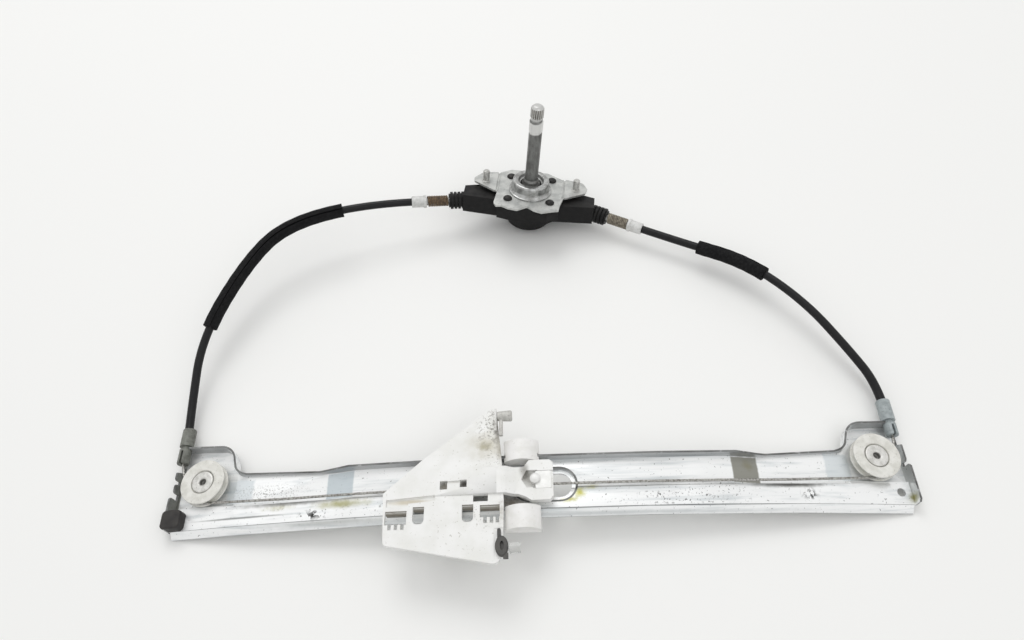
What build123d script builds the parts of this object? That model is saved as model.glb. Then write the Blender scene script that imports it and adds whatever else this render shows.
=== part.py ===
from build123d import *
import math
import os

# Manual window regulator: one pressed rail, a cable over two end pulleys, a glass carrier,
# and a crank winder that two Bowden conduits join to the rail.
# X runs along the rail, Y from the rail to the winder, Z up from the floor it lies on.
# Shapes are drawn with the left pulley's axis at X = 0, Y = 0, and moved by PLACE at the end.

# ---- driving dimensions, mm ----
ORIGIN_X = 198.11         # the whole part's middle, seen from the left pulley's axis
ORIGIN_Y = 86.78
PULLEY_GAP = 400.0        # from pulley axis to pulley axis
SHEET = 1.2               # rail sheet

# the rail is arched over its length, like the door glass; its shapes are drawn flat,
# with X along the arch and their height above the skirt's lower rim
ARCH_R = 1416.0
ARCH_MID = 199.5          # X of the arch's top
ARCH_RISE = 16.77         # height of the lower rim at the top
MIDDLE_H = 7.0            # height at which X is true

# rail levels
RIM_H = 10.4              # upright ends of the rail
EAR_H = 8.8               # flange round a pulley
FLANGE_H = 10.2           # flange between the ramps
LOW_FLANGE_H = 4.2        # flange outside the ramps
MID_H = 4.6               # lower band, and the web between the two ramps
OUTER_H = 2.0             # web outside the ramps
POCKET_H = 1.4            # floor of the pulley pockets
# rail outline
RAIL_LEFT = -19.0
RAIL_RIGHT = 418.0
FLANGE_Y = 3.2            # outer face of the far flange
EAR_LEFT_Y = (25.8, 23.2)     # outer face of the left ear, at the rail's end and at its corner
EAR_RIGHT_Y = (24.0, 22.6)
FOLD_Y = -27.2            # bend between the band and the sloping near skirt
SKIRT_Y = -31.2           # lower rim of the skirt
STEP_Y = -15.8            # step wall between the outer webs and the band
POCKET_Y = -14.2          # the same wall where it passes a pulley
RAMP_LEFT = (77.0, 94.0)
RAMP_RIGHT = (314.0, 330.0)
EAR_LEFT_X = (15.0, 19.6)     # left ear's corner, and its foot on the flange
EAR_RIGHT_X = (388.0, 382.8)
EAR_FOOT_Y = 6.4          # outer face of the flange where an ear starts
STRAIGHT_X = (74.0, 332.0)    # between these the flange is straight, outside them it spreads
OVAL_X = (187.0, 225.0)   # oval mounting opening
OVAL_Y = -13.1
OVAL_WIDE = 21.2
END_HOLE = (411.5, -20.0)
END_HOLE_R = 2.5

# pulleys and the steel cable
PULLEY_Y = 0.45
PULLEY_R = 14.05
PULLEY_LOW = 4.6
PULLEY_HIGH = 10.4
CABLE_R = 0.75
CABLE_H = 7.0
CABLE_TURN_R = 12.2       # cable centreline on a pulley
CABLE_Y = -13.9           # cable where the carrier runs
CABLE_X = (56.0, 338.0)
PIN_R = 3.95
PIN_HEAD_R = 6.8
RUNNING = 0.05            # radial clearance of a turning fit
FERRULE_LEFT_X = -18.0
FERRULE_RIGHT_X = 415.2
FERRULE_Y = 14.8
FERRULE_END_Y = 38.0
CONDUIT_R = 2.7
FOAM_R = 4.8

# glass carrier, drawn flat and at full size, then set on the arch
CARRIER_X = 165.0         # where its frame touches the arch
CARRIER_SIZE = 0.971
CARRIER_FROM = (155.0, -12.0, 17.0)     # this drawn point comes to CARRIER_TO
CARRIER_TO = (156.8, -17.5, 14.4)
CARRIER_LOW = 14.5
CARRIER_HIGH = 17.0
SEAT_Z = 16.6
ARM_HIGH = 15.5
ARM_LOW = 11.0
SHOE_X = (183.1, 203.3)
SHOE_CROWN = 14.6
SHOE_SHOULDER = 9.8
PLATE_H = 12.2            # height of the plate's middle layer on the arch
HEX_ACROSS = 10.8
HEX_AT = (198.4, -7.3)

# winder, in its own frame: origin on the spindle axis at the cover plate's top face
WINDER_AT = (204.5, 209.4, 28.65)
WINDER_TURN = (-12.5, 7.0, -5.8)
STUD_X = 32.7
STUD_Y = 5.2
STUD_R = 2.4
STUD_HIGH = 9.0
RIVET_XY = (15.0, 14.0)
PLATE = 1.5
CUP_R = 13.2
CUP_HIGH = 9.0
CAN_R = 15.5
CAN_LOW = -26.0
CAVITY_R = 14.0
DRUM_R = 13.4
WRAP_R = 12.6             # cable centreline on the drum
SPINDLE_R = 4.6
SPINDLE_HIGH = 67.6
TEETH = 24
LEG_Z = -12.0             # level of the two cable legs
MOUTH_LEFT = (-47.4, -4.4)
MOUTH_RIGHT = (47.0, -3.4)
LEG_LEFT_DEG = 194.5
LEG_RIGHT_DEG = -20.5
# distances along a leg, from the housing arm's mouth
COLLAR_LONG = 11.0
SPRING_FROM = 11.3
SPRING_TO = 27.2
CAP_TO = 38.0
CONDUIT_FROM = 32.0

PLACE = Pos(-ORIGIN_X, -ORIGIN_Y, 0)
WINDER = Location(WINDER_AT, WINDER_TURN)

os.makedirs("parts", exist_ok=True)


def save(shape, name):
    export_step(PLACE * shape, f"parts/{name}.step")


def block(x, y, z):
    """A box between two limits on each axis."""
    box = Box(x[1] - x[0], y[1] - y[0], z[1] - z[0], align=(Align.MIN, Align.MIN, Align.MIN))
    return Pos(x[0], y[0], z[0]) * box


def outline(*points):
    return make_face(Polyline(*points, close=True))


def prism_x(face, x):
    """A face drawn in Y and Z, run along X."""
    return extrude(Plane.YZ.offset(x[0]) * face, x[1] - x[0])


def prism_y(face, y):
    """A face drawn in X and Z, run along Y."""
    return extrude(Plane.XZ.offset(-y[1]) * face, y[1] - y[0])


def prism_z(face, z):
    return extrude(Plane.XY.offset(z[0]) * face, z[1] - z[0])


def post(x, y, radius, z):
    return Pos(x, y, z[0]) * Cylinder(radius, z[1] - z[0], align=(Align.CENTER, Align.CENTER, Align.MIN))


def turned(*profile):
    """A solid of revolution about Z from points of radius and height."""
    return revolve(Plane.XZ * outline(*profile), Axis.Z)


def arch_angle(x):
    return math.degrees(math.asin((x - ARCH_MID) / (ARCH_R + MIDDLE_H)))


def on_circle(degrees, height):
    """Point of the arch's X and Z plane at an angle from its top."""
    angle = math.radians(degrees)
    reach = ARCH_R + height
    return Vector(ARCH_MID + reach * math.sin(angle), 0, ARCH_RISE - ARCH_R + reach * math.cos(angle))


def at_arch(x):
    """Carries a shape drawn flat onto the arch, tangent to it at x."""
    angle = arch_angle(x)
    return Location(on_circle(angle, 0), (0, angle, 0)) * Location((-x, 0, 0))


ARCH_AXIS = Axis((ARCH_MID, 0, ARCH_RISE - ARCH_R), (0, 1, 0))


def arched_x(face, x):
    """A face drawn in Y and height, run along the arch."""
    start, end = (arch_angle(limit) for limit in x)
    section = Pos(ARCH_MID, 0, ARCH_RISE) * (Plane.YZ * face)
    return revolve(section.rotate(ARCH_AXIS, start), ARCH_AXIS, end - start)


def arched_y(points, y):
    """An outline of X and height bent to the arch, run along Y; level stretches become arcs."""
    edges = []
    for (x0, height0), (x1, height1) in zip(points, [*points[1:], points[0]]):
        start, end = arch_angle(x0), arch_angle(x1)
        tips = (on_circle(start, height0), on_circle(end, height1))
        if height0 == height1:
            edges.append(ThreePointArc(tips[0], on_circle((start + end) / 2, height0), tips[1]))
        else:
            edges.append(Line(*tips))
    face = Pos(0, y[0], 0) * make_face(edges)
    return extrude(face, y[1] - y[0], dir=(0, 1, 0))


def tube_along(path, radius):
    return sweep((path ^ 0) * Circle(radius), path=path)


# ---- rail ----
def flange_line():
    """Centreline of the far flange, from the left end round both ears to the right end."""
    half = SHEET / 2
    return FilletPolyline(
        (RAIL_LEFT, EAR_LEFT_Y[0] - half),
        (EAR_LEFT_X[0], EAR_LEFT_Y[1] - half),
        (EAR_LEFT_X[1], EAR_FOOT_Y - half),
        (STRAIGHT_X[0], FLANGE_Y - half),
        (STRAIGHT_X[1], FLANGE_Y - half),
        (EAR_RIGHT_X[1], EAR_FOOT_Y - half),
        (EAR_RIGHT_X[0], EAR_RIGHT_Y[1] - half),
        (RAIL_RIGHT, EAR_RIGHT_Y[0] - half),
        radius=[11.0, 5.0, 60.0, 60.0, 5.0, 11.0],
    )


def far_flange():
    """Upright far flange: low outside the ramps, high between them and round the pulleys."""
    left, right = RAIL_LEFT - 3, RAIL_RIGHT + 3
    foot = EAR_LEFT_X[1], EAR_RIGHT_X[1]
    profile = [
        (left, EAR_H),
        (foot[0] - 1.0, EAR_H),
        (foot[0] + 5.0, LOW_FLANGE_H),
        (RAMP_LEFT[0] - 6.0, LOW_FLANGE_H),
        (RAMP_LEFT[1] - 3.0, FLANGE_H),
        (RAMP_RIGHT[0] + 3.0, FLANGE_H),
        (RAMP_RIGHT[1] + 6.0, LOW_FLANGE_H),
        (foot[1] - 5.0, LOW_FLANGE_H),
        (foot[1] + 1.0, EAR_H),
        (right, EAR_H),
        (right, POCKET_H - SHEET),
        (foot[1], POCKET_H - SHEET),
        (foot[1] - 1.0, OUTER_H - SHEET),
        (RAMP_RIGHT[1], OUTER_H - SHEET),
        (RAMP_RIGHT[0], MID_H - SHEET),
        (RAMP_LEFT[1], MID_H - SHEET),
        (RAMP_LEFT[0], OUTER_H - SHEET),
        (foot[0] + 1.0, OUTER_H - SHEET),
        (foot[0], POCKET_H - SHEET),
        (left, POCKET_H - SHEET),
    ]
    walls = prism_z(trace(flange_line(), SHEET), (-8, 40))
    return walls & arched_y(profile, (-5, 32))


def pocket_floor(end_x, corner_x, ear_y):
    """Flat floor under a pulley, inside the ear."""
    half = SHEET / 2
    near = POCKET_Y - half
    plan = outline(
        (end_x, near), (corner_x[1], near), (corner_x[1], EAR_FOOT_Y - half),
        (corner_x[0], ear_y[1] - half), (end_x, ear_y[0] - half),
    )
    floor = prism_z(plan, (POCKET_H - SHEET, POCKET_H))
    corner = floor.edges().filter_by(Axis.Z).filter_by(lambda e: abs(e.center().X - corner_x[0]) < 0.1)
    return fillet(corner, 10.0)


def rail_web():
    """The web between the pockets: low outside the ramps, level with the band between them."""
    ends = EAR_LEFT_X[1] - 1.6, EAR_RIGHT_X[1] + 1.6
    top = [
        (ends[0], OUTER_H),
        (RAMP_LEFT[0], OUTER_H),
        (RAMP_LEFT[1], MID_H),
        (RAMP_RIGHT[0], MID_H),
        (RAMP_RIGHT[1], OUTER_H),
        (ends[1], OUTER_H),
    ]
    under = [(x, height - SHEET) for x, height in reversed(top)]
    half = SHEET / 2
    plan = outline(
        (0, STEP_Y - half), (PULLEY_GAP, STEP_Y - half), (PULLEY_GAP, EAR_FOOT_Y - half),
        (EAR_RIGHT_X[1], EAR_FOOT_Y - half), (STRAIGHT_X[1], FLANGE_Y - half),
        (STRAIGHT_X[0], FLANGE_Y - half), (EAR_LEFT_X[1], EAR_FOOT_Y - half), (0, EAR_FOOT_Y - half),
    )
    return arched_y([*top, *under], (STEP_Y - 2, EAR_FOOT_Y)) & prism_z(plan, (-8, 40))


def step_wall(foot_x, ramp_low, ramp_high):
    """Wall from the band down to the low web beside it."""
    side = [
        (foot_x, OUTER_H - SHEET),
        (ramp_low, OUTER_H - SHEET),
        (ramp_high, MID_H - SHEET),
        (ramp_high, MID_H),
        (foot_x, MID_H),
    ]
    return arched_y(side, (STEP_Y - SHEET / 2, STEP_Y + SHEET / 2))


def pocket_walls(end_x, foot_x):
    """Walls from the band down to a pocket, and across from the pocket to the web."""
    half = SHEET / 2
    low = POCKET_H - SHEET
    walls = block(sorted((end_x, foot_x)), (POCKET_Y - half, POCKET_Y + half), (low, MID_H - 0.1))
    walls += block((foot_x - half, foot_x + half), (STEP_Y - half, POCKET_Y + half), (low, MID_H - 0.1))
    return walls


def end_wall(left):
    """Upright end of the rail, with a notch, and low beside the conduit ferrule."""
    low = POCKET_H - SHEET
    if left:
        ear = EAR_LEFT_Y[0] - 0.4
        return outline(
            (FOLD_Y, MID_H - SHEET), (FOLD_Y, 9.4), (FOLD_Y + 1.0, RIM_H), (-8.5, RIM_H), (-7.5, 9.4),
            (-7.5, 3.0), (-3.5, 3.0), (-3.5, 6.6), (-2.5, 7.6), (1.0, 7.6), (2.0, 6.6), (2.0, 4.0),
            (4.4, 4.0), (4.4, 7.4), (5.4, 8.4), (9.0, 8.4), (11.0, 2.2), (ear, 2.2),
            (ear, low), (POCKET_Y, low), (POCKET_Y, MID_H - SHEET),
        )
    ear = EAR_RIGHT_Y[0] - 0.4
    return outline(
        (FOLD_Y, MID_H - SHEET), (FOLD_Y, 8.9), (FOLD_Y + 1.5, RIM_H), (-5.5, RIM_H), (-4.0, 8.9),
        (-4.0, 3.6), (-1.4, 3.6), (-1.4, 6.2), (-0.2, 7.4), (9.0, 7.4), (11.0, 2.2), (ear, 2.2),
        (ear, low), (POCKET_Y, low), (POCKET_Y, MID_H - SHEET),
    )


def oval(x, wide, height):
    slot = SlotOverall(x[1] - x[0], wide)
    z = (ARCH_RISE + height[0], ARCH_RISE + height[1])
    return Pos((x[0] + x[1]) / 2, OVAL_Y, 0) * prism_z(slot, z)


def rail():
    under = MID_H - SHEET
    skirt = outline(
        (FOLD_Y + 0.8, MID_H - 0.1), (FOLD_Y - 0.2, MID_H - 0.1), (SKIRT_Y, 0.9), (SKIRT_Y, 0.0),
        (SKIRT_Y + SHEET, 0.0), (SKIRT_Y + SHEET, 0.5), (FOLD_Y + 0.4, under + 0.1),
        (FOLD_Y + 0.8, under + 0.1),
    )
    left, right = RAIL_LEFT, RAIL_RIGHT
    body = arched_y([(left, MID_H), (right, MID_H), (right, under), (left, under)], (FOLD_Y, STEP_Y))
    for x0, x1 in ((left, EAR_LEFT_X[1]), (EAR_RIGHT_X[1], right)):
        shelf = [(x0, MID_H), (x1, MID_H), (x1, under), (x0, under)]
        body += arched_y(shelf, (STEP_Y - 1.0, POCKET_Y))
    body += arched_x(skirt, (left + 1.0, right - 1.0))
    body += rail_web()
    body += step_wall(EAR_LEFT_X[1], *RAMP_LEFT)
    body += step_wall(EAR_RIGHT_X[1], *reversed(RAMP_RIGHT))
    body += far_flange()
    left_end = pocket_floor(left, EAR_LEFT_X, EAR_LEFT_Y) + pocket_walls(left, EAR_LEFT_X[1])
    left_end += prism_x(end_wall(True), (left - SHEET, left))
    right_end = pocket_floor(right, EAR_RIGHT_X, EAR_RIGHT_Y) + pocket_walls(right, EAR_RIGHT_X[1])
    right_end += prism_x(end_wall(False), (right, right + SHEET))
    body += at_arch(0) * left_end
    body += at_arch(PULLEY_GAP) * right_end
    # oval opening with a sunken rolled rim
    rolled = (OVAL_X[0] + SHEET, OVAL_X[1] - SHEET)
    lip = (OVAL_X[0] + 3.4, OVAL_X[1] - 3.4)
    rim = (OVAL_X[0] - 0.1, OVAL_X[1] + 0.1)
    body -= oval(OVAL_X, OVAL_WIDE, (-10, 20))
    body += oval(rim, OVAL_WIDE + 0.2, (1.4, 4.1)) \
        - oval(rolled, OVAL_WIDE - 2 * SHEET, (2.4, 20)) \
        - oval(lip, OVAL_WIDE - 6.8, (-10, 20))
    # holes for the pulley pins, the end hole, and slots for the necks of the conduit ferrules
    for pin_x, slot_x, slot_y in (
        (0, FERRULE_LEFT_X, EAR_LEFT_Y[0]),
        (PULLEY_GAP, FERRULE_RIGHT_X, EAR_RIGHT_Y[0]),
    ):
        width = 2.8
        cuts = post(pin_x, PULLEY_Y, PIN_R, (-2, RIM_H))
        cuts += block((slot_x - width, slot_x + width), (slot_y - 4, slot_y + 3), (CABLE_H, RIM_H + 3))
        cuts += Pos(slot_x, slot_y, CABLE_H) * Rot(90, 0, 0) * Cylinder(width, 7)
        if pin_x:
            cuts += post(*END_HOLE, END_HOLE_R, (-2, RIM_H))
        body -= at_arch(pin_x) * cuts
    return body


save(rail(), "rail")


# ---- pulleys on hollow pins ----
ENDS = (
    ("left", 0.0, FERRULE_LEFT_X, EAR_LEFT_Y[0]),
    ("right", PULLEY_GAP, FERRULE_RIGHT_X, EAR_RIGHT_Y[0]),
)


def pulley():
    groove = CABLE_TURN_R - CABLE_R - 0.4
    middle = CABLE_H
    return turned(
        (PIN_R + RUNNING, PULLEY_LOW), (PULLEY_R - 0.4, PULLEY_LOW), (PULLEY_R, PULLEY_LOW + 0.4),
        (PULLEY_R, PULLEY_LOW + 1.0), (groove + 0.5, middle - 1.2), (groove, middle - 0.9),
        (groove, middle + 0.9), (groove + 0.5, middle + 1.2), (PULLEY_R, PULLEY_HIGH - 1.1),
        (PULLEY_R, PULLEY_HIGH - 0.4), (PULLEY_R - 0.4, PULLEY_HIGH), (PIN_HEAD_R + 1.1, PULLEY_HIGH),
        (PIN_HEAD_R + 0.5, PULLEY_HIGH - 0.5), (PIN_HEAD_R + 0.5, PULLEY_HIGH - 1.8),
        (PIN_R + RUNNING, PULLEY_HIGH - 1.8),
    )


def pulley_pin():
    """Hollow rivet: flat foot under the rail, shoulder under the pulley, plain shank, rolled head."""
    head = PULLEY_HIGH - 1.5
    foot = POCKET_H - SHEET
    return turned(
        (0, foot - 0.9), (5.2, foot - 0.9), (5.2, foot), (PIN_R, foot), (PIN_R, POCKET_H + 0.02),
        (6.0, POCKET_H + 0.02), (6.0, PULLEY_LOW - 0.15), (PIN_R, PULLEY_LOW - 0.15), (PIN_R, head),
        (PIN_HEAD_R, head), (PIN_HEAD_R, head + 1.1), (PIN_HEAD_R - 0.6, head + 1.5), (2.9, head + 1.5),
        (2.1, head + 0.9), (2.1, head - 1.5), (0, head - 2.4),
    )


for side, axis_x, _, _ in ENDS:
    place = at_arch(axis_x) * Pos(axis_x, PULLEY_Y, 0)
    save(place * pulley(), f"pulley_{side}")
    save(place * pulley_pin(), f"pulley_pin_{side}")


# ---- conduit ferrules on the rail, and the cable between them ----
def ferrule(wall_y):
    """Slotted lower barrel, neck in the rail's slot, and a socket for the conduit; axis along Y."""
    neck = wall_y - SHEET - 0.5
    collar_y = wall_y + 0.5
    body = turned(
        (1.1, FERRULE_Y), (3.5, FERRULE_Y), (3.7, FERRULE_Y + 0.5), (3.7, neck), (2.7, neck),
        (2.7, collar_y), (4.2, collar_y), (4.2, FERRULE_END_Y - 0.5),
        (3.9, FERRULE_END_Y), (CONDUIT_R + 0.05, FERRULE_END_Y), (CONDUIT_R + 0.05, FERRULE_END_Y - 8),
        (1.1, FERRULE_END_Y - 8),
    )
    slit = block((-0.7, 0.7), (-5, -0.5), (FERRULE_Y - 1, neck - 1.2))
    return Rot(-90, 0, 0) * (body - slit)


for side, axis_x, ferrule_x, ear_y in ENDS:
    save(at_arch(axis_x) * Pos(ferrule_x, 0, CABLE_H) * ferrule(ear_y), f"conduit_ferrule_{side}")


def cable_corner(dx):
    """Where a cable leg from a ferrule, tangent to its pulley, meets the line past the pulley.

    dx is the ferrule's X from the pulley's axis, outwards; the answer is measured the same way.
    """
    dy = FERRULE_Y - PULLEY_Y
    away = math.hypot(dx, dy)
    angle = math.atan2(dy, dx) - math.acos(CABLE_TURN_R / away)
    touch = (CABLE_TURN_R * math.cos(angle), CABLE_TURN_R * math.sin(angle))
    part = (dy + CABLE_TURN_R) / (dy - touch[1])
    return dx + (touch[0] - dx) * part


def cable_end(axis_x, ferrule_x):
    """Corners of the cable from inside a ferrule to the near side of its pulley."""
    sign = -1 if ferrule_x < axis_x else 1
    corner = axis_x + sign * cable_corner(abs(ferrule_x - axis_x))
    flat = ((ferrule_x, 29.5), (ferrule_x, FERRULE_Y), (corner, PULLEY_Y - CABLE_TURN_R))
    return [(at_arch(axis_x) * Location((*point, CABLE_H))).position for point in flat]


def rail_cable():
    """One cable over both pulleys, close above the arched web where the carrier runs."""
    half_turn = (arch_angle(CABLE_X[1]) - arch_angle(CABLE_X[0])) / 2
    middle = (arch_angle(CABLE_X[1]) + arch_angle(CABLE_X[0])) / 2
    over = (ARCH_R + CABLE_H) * (1 / math.cos(math.radians(half_turn)) - 1)
    run = [on_circle(arch_angle(CABLE_X[0]), CABLE_H), on_circle(middle, CABLE_H + over),
           on_circle(arch_angle(CABLE_X[1]), CABLE_H)]
    run = [point + Vector(0, CABLE_Y, 0) for point in run]
    left = cable_end(0, FERRULE_LEFT_X)
    right = cable_end(PULLEY_GAP, FERRULE_RIGHT_X)
    turn = CABLE_TURN_R
    path = FilletPolyline(*left, *run, *reversed(right), radius=[20, turn, 60, 1404, 60, turn, 20])
    return tube_along(path, CABLE_R)


save(rail_cable(), "rail_cable")


# ---- rubber buffer clipped over the rail's left end ----
def rubber_buffer():
    wall = (RAIL_LEFT - SHEET - 0.05, RAIL_LEFT + 0.05)
    body = block((-21.8, -9.6), (-27.4, -16.0), (1.0, RIM_H + 0.9))
    body = fillet(body.edges().filter_by(Axis.Z), 2.6)
    body = fillet(body.faces().sort_by(Axis.Z)[-1].edges(), 1.2)
    body -= block((wall[0], 0), (-40, 0), (-3, MID_H + 0.05))
    body -= block(wall, (-40, 0), (-3, RIM_H + 0.05))
    return at_arch(0) * body


save(rubber_buffer(), "rubber_buffer")


# ---- glass carrier ----
def carrier_plate():
    edge = outline(
        (111.2, -13.0), (133.6, 7.1), (175.0, 39.0), (178.0, 38.0), (179.2, 22.4), (181.0, 4.0),
        (181.9, -19.9), (181.5, -36.7), (179.2, -57.2), (113.0, -43.6),
    )
    plate = prism_z(edge, (CARRIER_LOW, CARRIER_HIGH))
    uprights = plate.edges().filter_by(Axis.Z)
    plate = fillet(uprights.sort_by(Axis.Y)[:1], 4.0)
    uprights = plate.edges().filter_by(Axis.Z)
    near_left = uprights.filter_by(lambda e: e.center().X < 114 and e.center().Y < -40)
    plate = fillet(near_left, 2.5)
    # wedge-shaped raised band that runs into the clamp arm
    under = CARRIER_HIGH - 0.5
    band = outline((138, under), (138, CARRIER_HIGH), (181.5, 18.6), (181.5, under))
    plate += prism_y(band, (-16.0, 0.4))
    # upright rib on the upper right edge
    plate += block((177.0, 178.4), (23.0, 37.6), (CARRIER_HIGH - 0.5, 19.6))
    return plate


def carrier_windows():
    """Through windows and shallow recesses of the carrier plate."""
    z = (CARRIER_LOW - 5, CARRIER_HIGH + 5)
    cuts = block((144.6, 149.0), (-12.2, -6.9), z)
    cuts += block((156.4, 160.5), (-11.4, -6.9), z)
    cuts += block((148.9, 156.5), (-8.6, -7.2), (CARRIER_HIGH - 0.8, z[1]))
    cuts += block((164.2, 172.8), (-20.3, -16.2), z)
    cuts += block((113.2, 125.8), (-32.0, -24.0), z)
    cuts += block((168.2, 179.6), (-29.8, -22.6), z)
    for low_y, notches in ((-35.0, (115.2, 118.9, 122.6)), (-33.2, (170.2, 173.9, 177.2))):
        for low_x in notches:
            cuts += block((low_x, low_x + 2.0), (low_y, low_y + 3.6), z)
    for arch_x, top_y in ((129.3, -22.0), (157.8, -21.9)):
        arch = block((arch_x, arch_x + 6.6), (top_y - 10.2, top_y), z)
        cuts += fillet(arch.edges().filter_by(Axis.Z).sort_by(Axis.Y)[:2], 2.6)
    recess = outline(
        (113.4, -17.0), (142.0, -15.2), (142.0, -18.6), (126.5, -19.6), (126.5, -21.4),
        (113.4, -21.4),
    )
    return cuts + prism_z(recess, (CARRIER_LOW + 0.9, z[1]))


def clamp_arm():
    """Arm that steps down from the plate to a rounded head with a hexagon hole."""
    side = outline(
        (178, CARRIER_LOW), (178, 18.5), (183.2, 18.5), (187.8, ARM_HIGH), (211, ARM_HIGH),
        (211, ARM_LOW), (187.4, ARM_LOW), (182.4, CARRIER_LOW),
    )
    plan = outline(
        (176, 0.4), (193.5, 0.2), (197.0, 4.5), (209.0, 4.3), (211, 2.4), (210.7, -18.2),
        (208.6, -20.3), (198.0, -20.3), (194.5, -18.0), (190.0, -16.2), (176, -16.0),
    )
    arm = prism_y(side, (-21, 6)) & prism_z(plan, (ARM_LOW - 1, 20))
    hexagon = RegularPolygon(HEX_ACROSS / 2, 6, major_radius=False)
    arm -= Pos(*HEX_AT, 0) * prism_z(hexagon, (12.2, 20))
    # bed of the nut's square tab
    arm -= block((199.0, 212.0), (-13.4, -2.4), (14.4, 20))
    arm -= post(200.4, -7.3, 2.6, (0, 20))
    return arm


def guide_ribs():
    """Ribs under the plate that run on the far flange and on the skirt, and the nipple box."""
    ribs = block((146, 162), (FLANGE_Y + 0.5, FLANGE_Y + 3.2), (LOW_FLANGE_H + 0.8, PLATE_H))
    ribs += block((146, 162), (FLANGE_Y - 3.0, FLANGE_Y - SHEET - 0.4), (MID_H + 0.9, PLATE_H))
    lower = block((139, 157), (SKIRT_Y - 4.2, -24.5), (0.6, PLATE_H))
    skirt_room = block((130, 160), (SKIRT_Y - 0.6, 0), (-2, MID_H + 0.5))
    box = block((141, 171), (CABLE_Y - 4.5, CABLE_Y + 4.5), (MID_H + 0.8, PLATE_H))
    run = block((130, 180), (CABLE_Y - 1.2, CABLE_Y + 1.2), (0, CABLE_H + 1.4))
    nipples = block((143.6, 151.2), (CABLE_Y - 2.0, CABLE_Y + 2.0), (0, CABLE_H + 2.2))
    nipples += block((160.6, 168.2), (CABLE_Y - 2.0, CABLE_Y + 2.0), (0, CABLE_H + 2.2))
    return ribs + (lower - skirt_room) + (box - run - nipples)


def fitted(shape):
    """Brings a shape of the carrier from its drawing to the flat frame of the rail."""
    shift = Vector(*CARRIER_TO) - Vector(*CARRIER_FROM) * CARRIER_SIZE
    # a placed shape is scaled about its own place, so the place is brought in as well
    shift += shape.location.position * (CARRIER_SIZE - 1)
    return Pos(*shift) * shape.scale(CARRIER_SIZE)


def save_on_carrier(shape, name):
    save(at_arch(CARRIER_X) * shape, name)


def glass_carrier():
    # low seats at the right edge for the grommet and for the corner clip
    seats = block((176.2, 184.0), (-54.0, -36.4), (SEAT_Z, 18.0))
    seats += block((178.3, 184.0), (20.0, 42.0), (SEAT_Z, 18.0))
    body = carrier_plate() - carrier_windows() - seats
    body += clamp_arm()
    notch = block((178.0, 184), (-49.6, -44.8), (CARRIER_LOW - 1, CARRIER_HIGH + 1))
    return fitted(body - notch) + guide_ribs()


save_on_carrier(glass_carrier(), "glass_carrier")


def guide_shoe(y, foot, clear):
    """Barrel-topped nylon shoe that hangs over a rail edge; clear is the room cut for the edge."""
    low, high = SHOE_X
    middle = (low + high) / 2
    arch = Polyline((low, SHOE_SHOULDER), (low, foot), (high, foot), (high, SHOE_SHOULDER))
    arch += ThreePointArc((high, SHOE_SHOULDER), (middle, SHOE_CROWN), (low, SHOE_SHOULDER))
    return prism_y(make_face(arch), y) - clear


far_room = block((170, 215), (FLANGE_Y - SHEET - 0.5, FLANGE_Y + 0.5), (-3, FLANGE_H + 0.5))
far_room += block((170, 215), (-10, FLANGE_Y - SHEET - 0.4), (-3, MID_H + 0.6))
save_on_carrier(guide_shoe((-1.1, 11.8), LOW_FLANGE_H + 0.8, far_room), "guide_shoe_far")
near_room = block((170, 215), (SKIRT_Y - 0.5, -10), (-3, MID_H + 0.5))
save_on_carrier(guide_shoe((-41.6, -27.7), 0.2, near_room), "guide_shoe_near")


def clamp_nut():
    """Square-tabbed nut block with a domed stud end, seated in the arm's hexagon hole."""
    nut = block((200.4, 209.8), (-13.2, -2.6), (14.45, 15.9))
    nut = fillet(nut.edges().filter_by(Axis.Z), 1.0)
    dome = turned((0, 10.8), (2.5, 10.8), (2.5, 16.4), (1.8, 17.0), (0, 17.3))
    return nut + Pos(200.4, -7.3, 0) * dome


save_on_carrier(fitted(clamp_nut()), "clamp_nut")


def cable_nipple():
    """Sleeve that ends a cable; its bore clears the cable run."""
    sleeve = turned((1.05, 0), (1.6, 0), (1.6, 6.8), (1.05, 6.8))
    return Rot(0, 90, 0) * sleeve


for side, start_x in (("left", 143.9), ("right", 160.9)):
    save_on_carrier(Pos(start_x, CABLE_Y, CABLE_H) * cable_nipple(), f"cable_nipple_{side}")


def carrier_clip():
    """Grey peg on a bent stem at the carrier's upper corner."""
    peg = turned((0, 0), (2.6, 0), (3.0, 1.0), (3.4, 8.2), (2.8, 9.0), (0, 9.0))
    peg = Pos(178.6, 33.4, 17.0) * Rot(0, 90, 0) * peg
    stem = block((179.7, 181.9), (20.5, 31.5), (15.6, 18.0))
    return peg + fillet(stem.edges().filter_by(Axis.Y), 0.6)


save_on_carrier(fitted(carrier_clip()), "carrier_clip")


def grommet():
    """Oval rubber stop snapped over the plate's right edge."""
    ring = Pos(180.6, -47.2, 0) * prism_z(Ellipse(3.7, 5.7), (SEAT_Z + 0.05, 19.4))
    ring = fillet(ring.faces().sort_by(Axis.Z)[-1].edges(), 0.9)
    neck = block((178.1, 181.6), (-49.5, -44.9), (CARRIER_LOW - 0.2, CARRIER_HIGH + 0.3))
    foot = Pos(180.4, -47.2, 0) * prism_z(Ellipse(3.2, 4.6), (12.8, CARRIER_LOW - 0.05))
    lug = block((181.4, 184.2), (-54.2, -51.2), (SEAT_Z + 0.05, 18.8))
    tail = block((178.2, 180.2), (-43.5, -37.2), (SEAT_Z + 0.05, 18.6))
    tail = fillet(tail.edges().filter_by(Axis.Z), 0.8)
    eye = Pos(180.8, -47.2, 0) * prism_z(Ellipse(1.1, 2.6), (17.8, 20))
    return ring + neck + foot + lug + tail - eye


save_on_carrier(fitted(grommet()), "carrier_grommet")


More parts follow.
